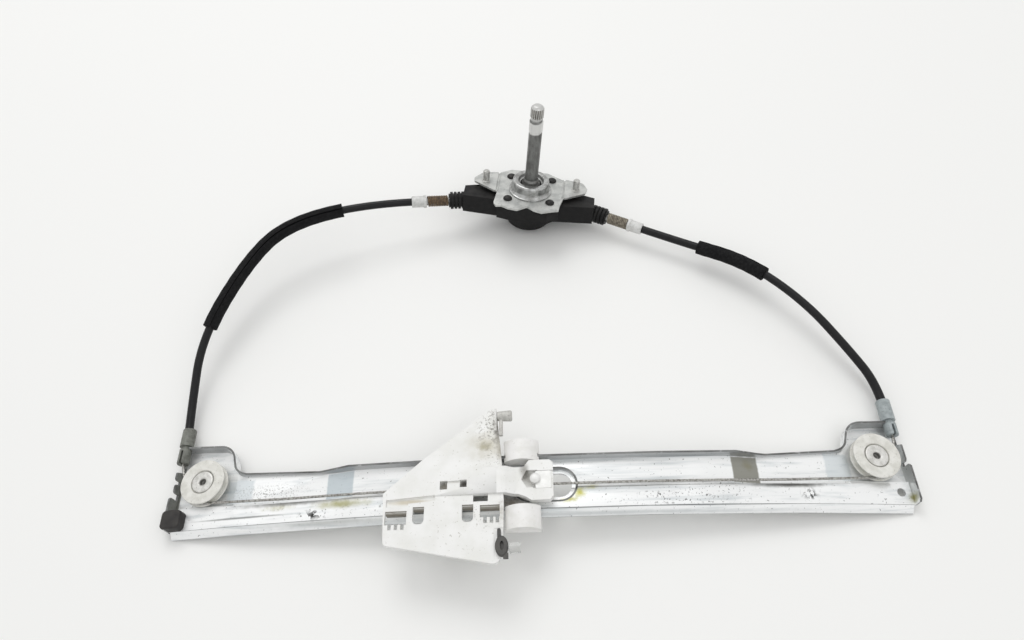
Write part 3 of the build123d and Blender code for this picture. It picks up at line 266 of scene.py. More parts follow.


# What each finish holds: colour and second are mottled in patches of mottleMm, roughness varies between its
# two values, and grain is the fine relief. Spots are stains and patches of painted shade at points of the
# drawing, in millimetres, and reach is how far each goes from there along each axis.
dustPatchMm = 6.0
finishes = {
    # Zinc-plated pressed sheet: near-white dull metal, drawn streaks along X, specks, scuffs and old grease,
    # with painted shade on near-facing faces, along folds and steps, on the near skirt, on the end walls and
    # under the carrier's arm.
    "zincPlatedSheet": {
        "colour": "#F4F5F5", "second": "#CDD2D4", "mottleMm": 3.6, "mottle": (0.46, 0.78),
        # the wall colour is painted shade on the faces that look to the near side
        "stretch": (0.05, 1.0, 1.0), "wall": "#6C6E70", "wallShadeShare": 0.55,
        "roughness": (0.3, 0.5), "roughMm": 4.0, "grainMm": 0.6, "grain": 0.35, "grainStretch": (0.15, 1, 1),
        "speck": "#4B4A47", "speckMm": 1.3, "speckShare": 0.75, "speckFrom": (0.67, 0.73),
        "set": {"Metallic": 0.62},
        "spots": [
            {"at": (88, -18, 15.5), "reach": (24, 4.5, 8), "colour": "#9D9A62", "strength": 0.9,
             "raggedMm": 4.0},
            {"at": (50, -18, 11.0), "reach": (16, 3, 6), "colour": "#ADAA80", "strength": 0.75,
             "raggedMm": 3.0},
            {"at": (219, -22.5, 21), "reach": (8, 2.6, 6), "colour": "#B3B04E", "strength": 0.95,
             "raggedMm": 2.5},
            {"at": (225.5, -18.5, 21), "reach": (5, 5, 6), "colour": "#B3B04E", "strength": 0.95,
             "raggedMm": 2.5},
            {"at": (232, -15.5, 21), "reach": (7, 2.2, 6), "colour": "#B9B77A", "strength": 0.7,
             "raggedMm": 2.5},
            # square patches over the ramps and round the pulley pockets: dark grey on the right ramp,
            # blue-grey on the left ramp and the pockets
            {"at": (322.5, -6.2, 12), "reach": (8.2, 8.4, 9), "colour": "#7F7E74", "strength": 0.9,
             "ragged": 0.1, "square": 0.12},
            {"at": (324, -3, 12), "reach": (5, 5, 6), "colour": "#77724C", "strength": 0.5, "raggedMm": 4.0},
            {"at": (85, -6.2, 14), "reach": (8.7, 8.4, 9), "colour": "#AEBBC2", "strength": 0.7,
             "ragged": 0.1, "square": 0.12},
            {"at": (22, -5, 6), "reach": (9, 8, 5), "colour": "#B9C4CA", "strength": 0.5, "ragged": 0.3,
             "square": 0.2},
            {"at": (378, -4, 6), "reach": (8, 9, 5), "colour": "#BCC7CC", "strength": 0.5, "ragged": 0.3,
             "square": 0.2},
            # brown-grey patch on the web under the carrier's arm: dirt and painted shade under the arm
            {"at": (187, -23.5, 21), "reach": (17, 6, 6), "colour": "#7F7465", "strength": 0.85,
             "raggedMm": 2.0},
            # painted shade: dark lines along the folds, the steps beside the cable and under the left
            # pulley, a greyer near skirt and darker end walls
            {"at": (200, -27.3, 12), "reach": (216, 0.5, 60), "colour": "#85898A", "strength": 0.85,
             "ragged": 0.2},
            {"at": (200, -15.3, 12), "reach": (210, 0.5, 60), "colour": "#6F716F", "strength": 0.75,
             "ragged": 0.2},
            {"at": (343, -15.9, 12), "reach": (34, 2.4, 8), "colour": "#4E4D48", "strength": 0.9,
             "ragged": 0.4},
            {"at": (62, -15.9, 10), "reach": (48, 2.4, 8), "colour": "#66655F", "strength": 0.85,
             "ragged": 0.4},
            {"at": (28, -22.4, 10), "reach": (42, 0.9, 12), "colour": "#7B7D7B", "strength": 0.8,
             "ragged": 0.3},
            {"at": (200, -30.0, 12), "reach": (216, 1.7, 60), "colour": "#AEB4B5", "strength": 0.6,
             "ragged": 0.5, "raggedMm": 7.0},
            {"at": (88, -28.6, 14), "reach": (64, 1.9, 12), "colour": "#A5A8A5", "strength": 0.6,
             "ragged": 0.7, "raggedMm": 5.0},
            {"at": (-18.6, -6, 5), "reach": (1.8, 23, 16), "colour": "#65665D", "strength": 0.85,
             "ragged": 0.2, "square": 0.2},
            {"at": (418.6, -5, 4), "reach": (1.8, 22, 16), "colour": "#8F9491", "strength": 0.55,
             "ragged": 0.2, "square": 0.2},
            {"at": (418, -23.5, 4), "reach": (4, 4.5, 9), "colour": "#9C985A", "strength": 0.9,
             "raggedMm": 2.0},
            {"at": (71, -24, 15.5), "reach": (13, 4.5, 8), "colour": "#262524", "raggedMm": 3.0,
             "speckMm": 3.6, "speckFrom": (0.54, 0.58)},
            {"at": (357, -21.5, 12.5), "reach": (7, 5, 8), "colour": "#1D1C1B", "raggedMm": 3.0,
             "speckMm": 2.4, "speckFrom": (0.5, 0.54)},
            {"at": (268, -20.5, 18), "reach": (16, 3, 8), "colour": "#2A2928", "raggedMm": 3.0,
             "speckMm": 2.6, "speckFrom": (0.57, 0.61)},
            {"at": (300, -19, 18), "reach": (55, 6, 6), "colour": "#3B3A38", "raggedMm": 4.0, "speckMm": 1.3,
             "speckFrom": (0.6, 0.68)},
            {"at": (285, -24, 18), "reach": (62, 4.5, 8), "colour": "#343330", "strength": 0.85,
             "raggedMm": 4.0, "speckMm": 1.7, "speckFrom": (0.6, 0.66)},
            {"at": (110, -23, 16), "reach": (40, 5, 8), "colour": "#3B3A36", "strength": 0.8,
             "raggedMm": 4.0, "speckMm": 1.5, "speckFrom": (0.61, 0.67)},
            {"at": (42, -7, 9), "reach": (36, 8, 8), "colour": "#5F5E5A", "strength": 0.8, "raggedMm": 4.0,
             "speckMm": 0.9, "speckFrom": (0.54, 0.64)},
        ],
    },
    # Cut edge of the sheet, where the plating is thin: dark, dull.
    "cutSheetEdge": {
        "colour": "#7E7F7E", "second": "#565655", "mottleMm": 6.0, "stretch": (0.3, 1.0, 1.0),
        "roughness": (0.4, 0.6), "grainMm": 0.5, "grain": 0.3,
        "speck": "#C4C6C6", "speckMm": 3.0, "speckShare": 0.6, "set": {"Metallic": 0.5},
    },
    # Drawn hollow rivet, plated: pale satin metal, with painted shade darkening its hollow.
    "platedRivet": {
        "colour": "#DFDEDA", "second": "#C2C1BC", "mottleMm": 3.0, "roughness": (0.35, 0.5),
        "grainMm": 0.4, "grain": 0.3, "speck": "#6D6A64", "speckMm": 1.0, "speckShare": 0.4,
        "set": {"Metallic": 0.45},
        "spots": [
            # painted shade in the hollow of each rivet
            {"at": onArch(0, 0.45, 7.8), "reach": (4.2, 4.2, 2.7), "colour": "#2A2723", "strength": 0.95,
             "ragged": 0.3, "raggedMm": 1.0},
            {"at": onArch(400, 0.45, 7.8), "reach": (4.2, 4.2, 2.7), "colour": "#2A2723", "strength": 0.95,
             "ragged": 0.3, "raggedMm": 1.0},
        ],
    },
    # Clamp block, cast and tumbled: pale, almost as white as the nylon round it.
    "tumbledBlock": {
        "colour": "#EFEFED", "second": "#E0E0DD", "mottleMm": 4.0, "roughness": (0.35, 0.5),
        "grainMm": 0.5, "grain": 0.2, "set": {"Metallic": 0.2},
    },
    # Cold-drawn steel, handled: duller and browner than plating.
    "handledSteel": {
        "colour": "#9C9993", "second": "#7B7771", "mottleMm": 3.0, "roughness": (0.35, 0.55),
        "grainMm": 0.3, "grain": 0.3, "set": {"Metallic": 0.8},
    },
    # Steel spindle, oiled: mid grey, darker streaks along it, worn bright at its upper end.
    "oiledSpindleSteel": {
        "colour": "#7C7D7B", "second": "#5F5F5D", "mottleMm": 2.5, "stretch": (1.0, 1.0, 0.25),
        "roughness": (0.3, 0.48), "grainMm": 0.35, "grain": 0.4, "speck": "#4A4541", "speckMm": 1.2,
        "speckShare": 0.4, "set": {"Metallic": 0.7},
        "spots": [
            {"at": onWinder(0, 0, 66.2), "reach": (12, 12, 9), "colour": "#D2D2D0", "strength": 0.85,
             "ragged": 0.1, "square": 0.2},
            {"at": onWinder(0, 0, 52.2), "reach": (12, 12, 4.6), "colour": "#E2E2E0", "strength": 0.9,
             "ragged": 0.2, "square": 0.25},
            {"at": onWinder(0, 0, 6), "reach": (9, 9, 6), "colour": "#4A3F36", "strength": 0.7,
             "raggedMm": 2.0},
        ],
    },
    # Chemically blackened steel: nearly black, low gloss.
    "blackenedSteel": {
        "colour": "#1B1B1C", "second": "#282726", "mottleMm": 2.0, "roughness": (0.35, 0.55),
        "grainMm": 0.4, "grain": 0.3, "dust": "#55514C", "dustShare": 0.2, "set": {"Metallic": 0.55},
    },
    # Zinc-plated stud: pale satin metal, darker at the threads.
    "platedStud": {
        "colour": "#C6C6C3", "second": "#9E9D99", "mottleMm": 1.6, "roughness": (0.3, 0.48),
        "grainMm": 0.3, "grain": 0.35, "speck": "#5C5852", "speckMm": 0.9, "speckShare": 0.4,
        "set": {"Metallic": 0.7},
    },
    # Deep-drawn steel cup: bright on its wall, brown grease in its recess.
    "greasyDrawnSteel": {
        "colour": "#B9BAB9", "second": "#8D8D8B", "mottleMm": 4.0, "roughness": (0.24, 0.42),
        "grainMm": 0.5, "grain": 0.3, "set": {"Metallic": 0.85},
        "spots": [
            {"at": onWinder(0, 0, 6.5), "reach": (9.5, 9.5, 3.5), "colour": "#4B4037", "strength": 0.85,
             "raggedMm": 2.0},
        ],
    },
    # Plated cover sheet: light satin grey, faint streaks and grime.
    "satinSheet": {
        "colour": "#C9CAC7", "second": "#ABADAB", "mottleMm": 7.0, "roughness": (0.36, 0.52),
        "grainMm": 0.5, "grain": 0.4, "speck": "#5B5955", "speckMm": 1.3, "speckShare": 0.5,
        "speckFrom": (0.64, 0.72), "set": {"Metallic": 0.6},
    },
    # Spring wire with surface rust: brown over dark steel.
    "rustySpringWire": {
        "colour": "#75624C", "second": "#4C4036", "mottleMm": 1.6, "roughness": (0.45, 0.7),
        "grainMm": 0.3, "grain": 0.5, "speck": "#94795A", "speckMm": 0.9, "speckShare": 0.5,
        "set": {"Metallic": 0.4},
    },
    # Spring wire, dulled: tan-grey.
    "dulledSpringWire": {
        "colour": "#958E80", "second": "#6C655A", "mottleMm": 1.6, "roughness": (0.4, 0.6),
        "grainMm": 0.3, "grain": 0.4, "speck": "#5A4A3A", "speckMm": 0.9, "speckShare": 0.4,
        "set": {"Metallic": 0.5},
    },
    # Galvanised strand: pale grey with dark grease between its wires.
    "galvanisedStrand": {
        "colour": "#B4B3AF", "second": "#6B6862", "mottleMm": 1.2, "roughness": (0.3, 0.5),
        "grainMm": 0.4, "grain": 0.5, "grainStretch": (0.5, 1, 1), "set": {"Metallic": 0.6},
    },
    # Galvanised strand under grease: dark, slightly shiny.
    "greasedStrand": {
        "colour": "#3A3633", "second": "#24211F", "mottleMm": 1.5, "roughness": (0.3, 0.5),
        "grainMm": 0.4, "grain": 0.5, "grainStretch": (0.5, 1, 1), "set": {"Metallic": 0.7},
    },
    # Natural nylon, injection moulded: white, light goes in a little, grime and a greasy stain, and painted
    # shade under the plate, in its windows, in the long slot, round the nut's hex recess and under the arm.
    "milkyNylon": {
        "colour": "#F0F0EE", "second": "#E7E7E3", "mottleMm": 14.0, "roughness": (0.36, 0.5),
        "grainMm": 0.6, "grain": 0.12, "speck": "#A8A498", "speckMm": 1.5, "speckShare": 0.6,
        "speckFrom": (0.66, 0.74),
        "set": {"Subsurface Weight": 0.15, "Subsurface Radius": (0.002, 0.002, 0.002)},
        "spots": [
            # painted shade: dark brown under the plate and on what hangs below it, dark near-facing faces in
            # the windows, a tan patch in the long slot, and dark patches round the nut's hex recess and
            # under the arm
            {"at": (140, -20, 12), "reach": (60, 60, 14.3), "colour": "#464034", "strength": 0.9,
             "ragged": 0.1, "square": 0.06},
            {"at": (148, -32, 30), "reach": (38, 8.5, 8), "colour": "#6E6554", "strength": 0.75,
             "ragged": 0.2, "square": 0.2, "upright": True},
            {"at": (129, -23.7, 28), "reach": (16, 2.2, 4), "colour": "#C2B79E", "strength": 0.7,
             "ragged": 0.4},
            {"at": onArch(194.6, -7.3, 11.5), "reach": (4.2, 7.5, 4.2), "colour": "#6E6A61", "strength": 0.8,
             "ragged": 0.3},
            {"at": onArch(197.5, -12.5, 8.4), "reach": (7, 7, 3.4), "colour": "#6E6A61", "strength": 0.9,
             "ragged": 0.3},
            {"at": (148.8, -15.1, 27.5), "reach": (4.2, 4.6, 2.3), "colour": "#2B271F", "strength": 1.0,
             "ragged": 0.2},
            {"at": (160.2, -14.7, 27.8), "reach": (4.2, 4.6, 2.3), "colour": "#2B271F", "strength": 1.0,
             "ragged": 0.2},
            {"at": (174, 8, 30), "reach": (18, 12, 9), "colour": "#BDB7A2", "strength": 0.75,
             "raggedMm": 6.0},
            {"at": (172, 7.5, 30), "reach": (5, 4, 9), "colour": "#8C8458", "strength": 0.6,
             "raggedMm": 3.0},
            {"at": (180, 18, 30), "reach": (4, 18, 9), "colour": "#8B8780", "strength": 0.8,
             "raggedMm": 3.0},
            {"at": (176, 20, 30), "reach": (13, 18, 9), "colour": "#77736A", "strength": 0.8,
             "raggedMm": 4.0, "speckMm": 1.6},
            {"at": (181.5, 6, 28), "reach": (4, 15, 9), "colour": "#938C7B", "strength": 0.75,
             "raggedMm": 2.0},
            {"at": (178, 2, 28), "reach": (10, 12, 9), "colour": "#6F695D", "strength": 0.75,
             "raggedMm": 3.0, "speckMm": 1.3, "speckFrom": (0.56, 0.64)},
            {"at": (181, -32, 26), "reach": (3.6, 14, 9), "colour": "#8E8775", "strength": 0.8,
             "raggedMm": 2.0},
            {"at": (172, -33, 28), "reach": (16, 12, 9), "colour": "#7B766B", "strength": 0.7,
             "raggedMm": 4.0, "speckMm": 1.4, "speckFrom": (0.56, 0.66)},
            {"at": (152, -16, 26), "reach": (16, 6, 6), "colour": "#CFC8B8", "strength": 0.4,
             "raggedMm": 5.0},
            {"at": (120, -32, 22), "reach": (14, 9, 7), "colour": "#8B877C", "strength": 0.5,
             "raggedMm": 4.0, "speckMm": 1.4, "speckFrom": (0.58, 0.68)},
        ],
    },
    # Nylon, moulded: white, a touch of gloss.
    "whiteNylon": {
        "colour": "#F1F0EE", "second": "#E6E5E1", "mottleMm": 7.0, "roughness": (0.34, 0.48),
        "grainMm": 0.5, "grain": 0.12, "speck": "#B3AEA2", "speckMm": 1.4, "speckShare": 0.4,
        "speckFrom": (0.66, 0.75),
        "set": {"Subsurface Weight": 0.12, "Subsurface Radius": (0.0015, 0.0015, 0.0015)},
    },
    # Acetal, moulded: greyed white with fine grime.
    "greyedAcetal": {
        "colour": "#E6E5DF", "second": "#D2D1C9", "mottleMm": 5.0, "roughness": (0.36, 0.5),
        "grainMm": 0.5, "grain": 0.15, "speck": "#98948A", "speckMm": 1.3, "speckShare": 0.5,
        "speckFrom": (0.63, 0.74),
        "set": {"Subsurface Weight": 0.12, "Subsurface Radius": (0.0015, 0.0015, 0.0015)},
    },
    # Pale grey polyamide, moulded: matt, handled.
    "palePolyamide": {
        "colour": "#D0CFCA", "second": "#B3B2AC", "mottleMm": 3.0, "roughness": (0.42, 0.58),
        "grainMm": 0.4, "grain": 0.2, "speck": "#6E6A62", "speckMm": 1.0, "speckShare": 0.5, "set": {},
    },
    # Grey polyamide, moulded: a cool blue cast, matt, little wear.
    "coolGreyPolyamide": {
        "colour": "#A3ABAC", "second": "#8A9293", "mottleMm": 3.0, "roughness": (0.4, 0.55),
        "grainMm": 0.4, "grain": 0.2, "speck": "#4E5050", "speckMm": 1.0, "speckShare": 0.5, "set": {},
    },
    # Grey polyamide, moulded: darkened by grease and road dirt, and darker overall as painted shade.
    "grimyShadedPolyamide": {
        "colour": "#787A73", "second": "#5A5B55", "mottleMm": 3.0, "roughness": (0.42, 0.58),
        "grainMm": 0.4, "grain": 0.25, "speck": "#44423D", "speckMm": 1.2, "speckShare": 0.6, "set": {},
    },
    # Natural polyamide, moulded: off-white, matt, with fingered edges.
    "capPolyamide": {
        "colour": "#DCDCDA", "second": "#C4C4C1", "mottleMm": 3.0, "roughness": (0.4, 0.55),
        "grainMm": 0.4, "grain": 0.2, "speck": "#7E7A72", "speckMm": 1.0, "speckShare": 0.4, "set": {},
    },
    # Glass-filled polyamide: black, dull, dusty on top.
    "blackPolyamide": {
        "colour": "#0F0F10", "second": "#171616", "mottleMm": 3.0, "roughness": (0.4, 0.58),
        "grainMm": 0.35, "grain": 0.35, "dust": "#3A3632", "dustShare": 0.14,
        "set": {"Specular IOR Level": 0.22},
    },
    # Extruded polypropylene sheath: black with a soft sheen.
    "blackSheath": {
        "colour": "#121214", "second": "#1A1A1C", "mottleMm": 4.0, "roughness": (0.3, 0.42),
        "grainMm": 0.6, "grain": 0.15, "dust": "#3C3A38", "dustShare": 0.1,
        "set": {"Specular IOR Level": 0.24},
    },
    # Split polyethylene foam: black, open-grained, no gloss.
    "blackFoam": {
        "colour": "#131314", "second": "#202021", "mottleMm": 1.6, "roughness": (0.85, 0.98),
        "grainMm": 0.7, "grain": 0.9, "grainDeepMm": 0.25, "set": {"Specular IOR Level": 0.2},
    },
    # Moulded rubber: black, soft sheen, dusty.
    "blackRubber": {
        "colour": "#1C1A1A", "second": "#282524", "mottleMm": 2.5, "roughness": (0.5, 0.68),
        "grainMm": 0.5, "grain": 0.3, "dust": "#4A4742", "dustShare": 0.3, "set": {},
    },
    # Soft grommet rubber: dark grey, chalky.
    "greyRubber": {
        "colour": "#3D3D3D", "second": "#504F4D", "mottleMm": 2.5, "roughness": (0.5, 0.68),
        "grainMm": 0.5, "grain": 0.3, "dust": "#6E6B64", "dustShare": 0.3, "set": {},
        "spots": [
            {"at": (180.2, -43.4, 28.6), "reach": (3.4, 3.4, 4), "colour": "#9A8E7A", "strength": 0.85},
        ],
    },
    # Clear plastic gone slightly milky.
    "clearPlastic": {
        "colour": "#FAFAFA", "second": "#F2F3F1", "mottleMm": 3.0, "roughness": (0.08, 0.16),
        "grainMm": 0.6, "grain": 0.06, "set": {"Transmission Weight": 0.96, "IOR": 1.3},
    },
}
skins = {name: makeSurface(name, look) for name, look in finishes.items()}
print("materials made", len(skins))


mergeWithin = 2e-6  # metres between points that are one point
flatWithin = 1.5  # degrees between faces that are one face


def gridFaces(rows, columns, closeRows=False, closeColumns=False):
    # four corners of every cell of a grid of points, wrapping where a direction is closed
    r = np.arange(rows if closeRows else rows - 1)[:, None]
    c = np.arange(columns if closeColumns else columns - 1)[None, :]
    nextR, nextC = (r + 1) % rows, (c + 1) % columns
    cells = [r * columns + c, r * columns + nextC, nextR * columns + nextC, nextR * columns + c]
    return np.stack([np.broadcast_to(cell, (r.size, c.size)) for cell in cells], -1).reshape(-1, 4)


def finishMesh(mesh, sharpDegrees):
    mesh.polygons.foreach_set("use_smooth", np.ones(len(mesh.polygons), bool))
    mesh.set_sharp_from_angle(angle=math.radians(sharpDegrees))
    mesh.update()


def addPiece(name, mesh, skin, body, stands):
    piece = bpy.data.objects.new(name, mesh)
    scene.collection.objects.link(piece)
    mesh.materials.clear()
    mesh.materials.append(skins[skin])
    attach(piece, body)
    if stands:
        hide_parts(*stands)
    return piece


def gridPiece(name, points, faces, skin, body, stands, sharpDegrees=40):
    mesh = bpy.data.meshes.new(name)
    mesh.from_pydata(points.reshape(-1, 3).tolist(), [], faces.tolist())
    form = bmesh.new()
    form.from_mesh(mesh)
    bmesh.ops.remove_doubles(form, verts=form.verts, dist=mergeWithin)
    bmesh.ops.recalc_face_normals(form, faces=form.faces)
    form.to_mesh(mesh)
    form.free()
    finishMesh(mesh, sharpDegrees)
    return addPiece(name, mesh, skin, body, stands)


def softProfile(corners, soft, closed):
    # corner B becomes the curve (1-t)^2 A + 2t(1-t) B + t^2 C, where A and C lie soft mm along its edges
    p = np.array(corners, float)

    def toward(other):
        edge = other - p
        length = np.maximum(np.linalg.norm(edge, axis=1, keepdims=True), 1e-9)
        return p + edge * np.minimum(soft / length, 0.45)

    a, c = toward(np.roll(p, 1, 0)), toward(np.roll(p, -1, 0))
    t = np.linspace(0, 1, 4)[:, None]
    curve = (1 - t) ** 2 * a[:, None] + 2 * t * (1 - t) * p[:, None] + t ** 2 * c[:, None]
    if not closed:
        curve[0], curve[-1] = p[0], p[-1]
    return curve.reshape(-1, 2)


def lathe(name, corners, place, skin, body, stands, soft=0.25, closed=False, steps=72, flutes=None,
          grooveSkin=None):
    # radius and height turned about Z: x = r cos a, y = r sin a, z = h
    profile = softProfile(corners, soft, closed)
    angle = np.linspace(0, math.tau, steps, endpoint=False)
    radius = profile[:, 0][:, None] * np.ones(steps)
    height = profile[:, 1][:, None] * np.ones(steps)
    if flutes:
        radius = flutes(radius, height, angle[None, :])
    points = np.stack([radius * np.cos(angle), radius * np.sin(angle), height], -1)
    faces = gridFaces(len(profile), steps, closeRows=closed, closeColumns=True)
    piece = gridPiece(name, toFrame(points, place), faces, skin, body, stands)
    if grooveSkin:  # grime in the flutes: the faces that lie deeper than half a tooth
        turn, at = place
        depth = (profile[:, 0][:, None] - radius).max() / 2
        centre = np.array([face.center for face in piece.data.polygons]) * mmPerMetre + layout["origin"]
        local = (centre - at) @ turn
        nearest = np.abs(local[:, 2][:, None] - profile[:, 1][None, :]).argmin(1)
        deep = profile[nearest, 0] - np.hypot(local[:, 0], local[:, 1]) > depth
        piece.data.materials.append(skins[grooveSkin])
        grimy = (deep & flutes.within(local[:, 2])).astype(np.int32)
        piece.data.polygons.foreach_set("material_index", grimy)
    return piece


def cutEdges(mesh, widest):
    # faces no wider than the sheet is thick, looking up: twice the area over the way round is the width
    def width(face):
        wayRound = sum((mesh.vertices[a].co - mesh.vertices[b].co).length for a, b in face.edge_keys)
        return 2 * mmPerMetre * face.area / wayRound

    return np.array([width(face) < widest and face.normal.z > 0.3 for face in mesh.polygons], np.int32)


def reshapeMesh(mesh, place, reshape):
    # moves points in the millimetres of the drawing that the place stands for
    turn, at = place
    flat = np.empty(len(mesh.vertices) * 3)
    mesh.vertices.foreach_get("co", flat)
    drawn = np.linalg.solve(turn, (flat.reshape(-1, 3) * mmPerMetre + layout["origin"] - at).T).T
    mesh.vertices.foreach_set("co", toFrame(reshape(drawn), place).ravel())


def softened(name, node, skin, body, soft, segments=2, sharpDegrees=35, edgeSkin=None, widest=1.35,
             place=None, reshape=None):
    # the node's own solid with every sharp edge rolled over
    form = bmesh.new()
    form.from_mesh(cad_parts[node].data)
    bmesh.ops.remove_doubles(form, verts=form.verts, dist=mergeWithin)
    bmesh.ops.dissolve_limit(form, angle_limit=math.radians(flatWithin), verts=form.verts, edges=form.edges)
    mesh = bpy.data.meshes.new(name)
    form.to_mesh(mesh)
    form.free()
    if reshape:
        reshapeMesh(mesh, place, reshape)
    finishMesh(mesh, sharpDegrees)
    piece = addPiece(name, mesh, skin, body, [node])
    if edgeSkin:
        mesh.materials.append(skins[edgeSkin])
        mesh.polygons.foreach_set("material_index", cutEdges(mesh, widest))
    bevel = piece.modifiers.new("edges", "BEVEL")
    bevel.width = soft / mmPerMetre
    bevel.segments = segments
    bevel.limit_method = "ANGLE"
    bevel.angle_limit = math.radians(sharpDegrees)
    bevel.harden_normals = True
    return piece


# Conduits: the points steer a smooth spline, and foam says which share of the run its sleeve covers.
conduits = {
    "left": {
        "points": [
            (124.39, 204.59, 27.41), (86.13, 199.85, 33.27), (31.8, 182.0, 36.0), (6.0, 153.0, 30.0),
            (-17.6, 99.6, 21.0), (-20.4, 54.0, 7.19), (-17.82, 30.2, 7.19),
        ],
        "length": 0.2633, "foam": (0.21, 0.7),
    },
    "right": {
        "points": [
            (277.58, 183.06, 12.91), (311.39, 165.72, 12.51), (349.6, 143.6, 17.0), (380.2, 107.4, 19.0),
            (402.0, 71.0, 14.0), (415.05, 50.0, 7.43), (415.05, 30.2, 7.43),
        ],
        "length": 0.2167, "foam": (0.22, 0.45),
    },
}
conduitSize = {
    "diameter": 5.4, "foamRadius": 4.8, "boreRadius": 2.85, "slitDegrees": 14.0, "slitAt": 60.0,
    "foamWave": 0.012, "foamWaves": 160,
}


def conduitCurve(side, look, thick):
    curve = bpy.data.curves.new(f"conduit_{side}_line", "CURVE")
    curve.dimensions = "3D"
    spline = curve.splines.new("NURBS")
    spline.points.add(len(look["points"]) - 1)
    for point, at in zip(spline.points, toFrame(look["points"])):
        point.co = (*at, 1.0)
    spline.order_u = 3
    spline.use_endpoint_u = True
    spline.resolution_u = 16
    curve.bevel_depth = thick / 2
    curve.bevel_resolution = 6
    curve.use_fill_caps = True
    return curve


def lineOf(side, look):
    # the spline's own line, as Blender draws it with no thickness, shared out evenly by length
    probe = bpy.data.objects.new("probe", conduitCurve(side, look, 0.0))
    scene.collection.objects.link(probe)
    bpy.context.view_layer.update()
    mesh = bpy.data.meshes.new_from_object(probe.evaluated_get(bpy.context.evaluated_depsgraph_get()))
    flat = np.empty(len(mesh.vertices) * 3)
    mesh.vertices.foreach_get("co", flat)
    bpy.data.objects.remove(probe)
    bpy.data.meshes.remove(mesh)
    line = flat.reshape(-1, 3)
    run = np.concatenate([[0], np.cumsum(np.linalg.norm(np.diff(line, axis=0), axis=1))])
    return line, run / run[-1]


def alongLine(line, run, shares):
    return np.stack([np.interp(shares, run, line[:, axis]) for axis in range(3)], -1)


def foamSleeve(side, look, size):
    # ring section with a slit, carried along the spline; side and top follow from its direction
    line, run = lineOf(side, look)
    shares = np.linspace(*look["foam"], 60)
    centre = alongLine(line, run, shares)
    along = np.gradient(centre, axis=0)
    along /= np.linalg.norm(along, axis=1, keepdims=True)
    across = np.cross((0, 0, 1.0), along)
    across /= np.linalg.norm(across, axis=1, keepdims=True)
    top = np.cross(along, across)
    gap = math.radians(size["slitDegrees"])
    at = math.radians(size["slitAt"])
    angle = at + np.linspace(gap / 2, math.tau - gap / 2, 40)
    wavy = 1.0 + size["foamWave"] * np.sin(shares * size["foamWaves"])[:, None]
    outward = np.cos(angle)[None, :, None] * across[:, None] + np.sin(angle)[None, :, None] * top[:, None]
    outer = centre[:, None] + size["foamRadius"] / mmPerMetre * wavy[..., None] * outward
    inner = centre[:, None] + size["boreRadius"] / mmPerMetre * outward
    section = np.concatenate([outer, inner[:, ::-1]], 1)
    rows, columns = section.shape[:2]
    faces = gridFaces(rows, columns, closeColumns=True)
    k = np.arange(len(angle) - 1)
    cap = np.stack([k, k + 1, columns - 2 - k, columns - 1 - k], -1)
    faces = np.concatenate([faces, cap, cap + (rows - 1) * columns])
    return gridPiece(f"foam_{side}", section, faces, "blackFoam", "base",
                     [f"foam_sleeve_{side}"], 50)


for side, look in conduits.items():
    sleeve = foamSleeve(side, look, conduitSize)
    line = conduitCurve(side, look, conduitSize["diameter"] / mmPerMetre)
    conduit = bpy.data.objects.new(f"conduit_sheath_{side}", line)
    scene.collection.objects.link(conduit)
    conduit.data.materials.append(skins["blackSheath"])
    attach(conduit, "base")
    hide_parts(f"conduit_{side}")
print("conduits and foam made")


# Rail unit: sheet, buffer, pulleys on their rivets, ferrules.
softened("rail_sheet", "rail", "zincPlatedSheet", "base", 0.22, edgeSkin="cutSheetEdge")
softened("buffer", "rubber_buffer", "blackRubber", "base", 0.25)
pulleyForm = {
    "rim": 14.05, "bore": 4.0, "low": 4.6, "high": 10.4, "lowLip": 1.0, "highLip": 1.1,
    "grooveRadius": 11.05, "middle": 7.0, "grooveHalf": 0.9, "collar": 7.3, "collarDeep": 1.8,
}
pinForm = {
    "radius": 3.95, "foot": 0.2, "footThick": 0.9, "footRadius": 5.2, "floor": 1.42, "shoulder": 4.45,
    "shoulderRadius": 6.0, "head": 6.8, "headLow": 8.9, "hole": 2.1,
}


def pulleyProfile(f):
    # round the section from the bore's foot: lower lip, groove, upper lip, then the collar's recess
    recess = f["high"] - f["collarDeep"]
    return [
        (f["bore"], f["low"]), (f["rim"], f["low"]), (f["rim"], f["low"] + f["lowLip"]),
        (f["grooveRadius"], f["middle"] - f["grooveHalf"]),
        (f["grooveRadius"], f["middle"] + f["grooveHalf"]), (f["rim"], f["high"] - f["highLip"]),
        (f["rim"], f["high"]), (f["collar"] + 0.4, f["high"]),
        (f["collar"], f["high"] - 0.5), (f["collar"], recess), (f["bore"], recess),
    ]


def pinProfile(f):
    # from the axis under the foot: foot, stem, shoulder, stem, dished head, hollow
    low, under = f["headLow"], f["foot"] - f["footThick"]
    return [
        (0, under), (f["footRadius"], under), (f["footRadius"], f["foot"]), (f["radius"], f["foot"]),
        (f["radius"], f["floor"]), (f["shoulderRadius"], f["floor"]), (f["shoulderRadius"], f["shoulder"]),
        (f["radius"], f["shoulder"]), (f["radius"], low), (f["head"], low), (f["head"], low + 1.1),
        (f["head"] - 0.6, low + 1.5), (2.9, low + 1.5), (f["hole"], low + 0.9), (f["hole"], low - 1.5),
        (0, low - 2.4),
    ]


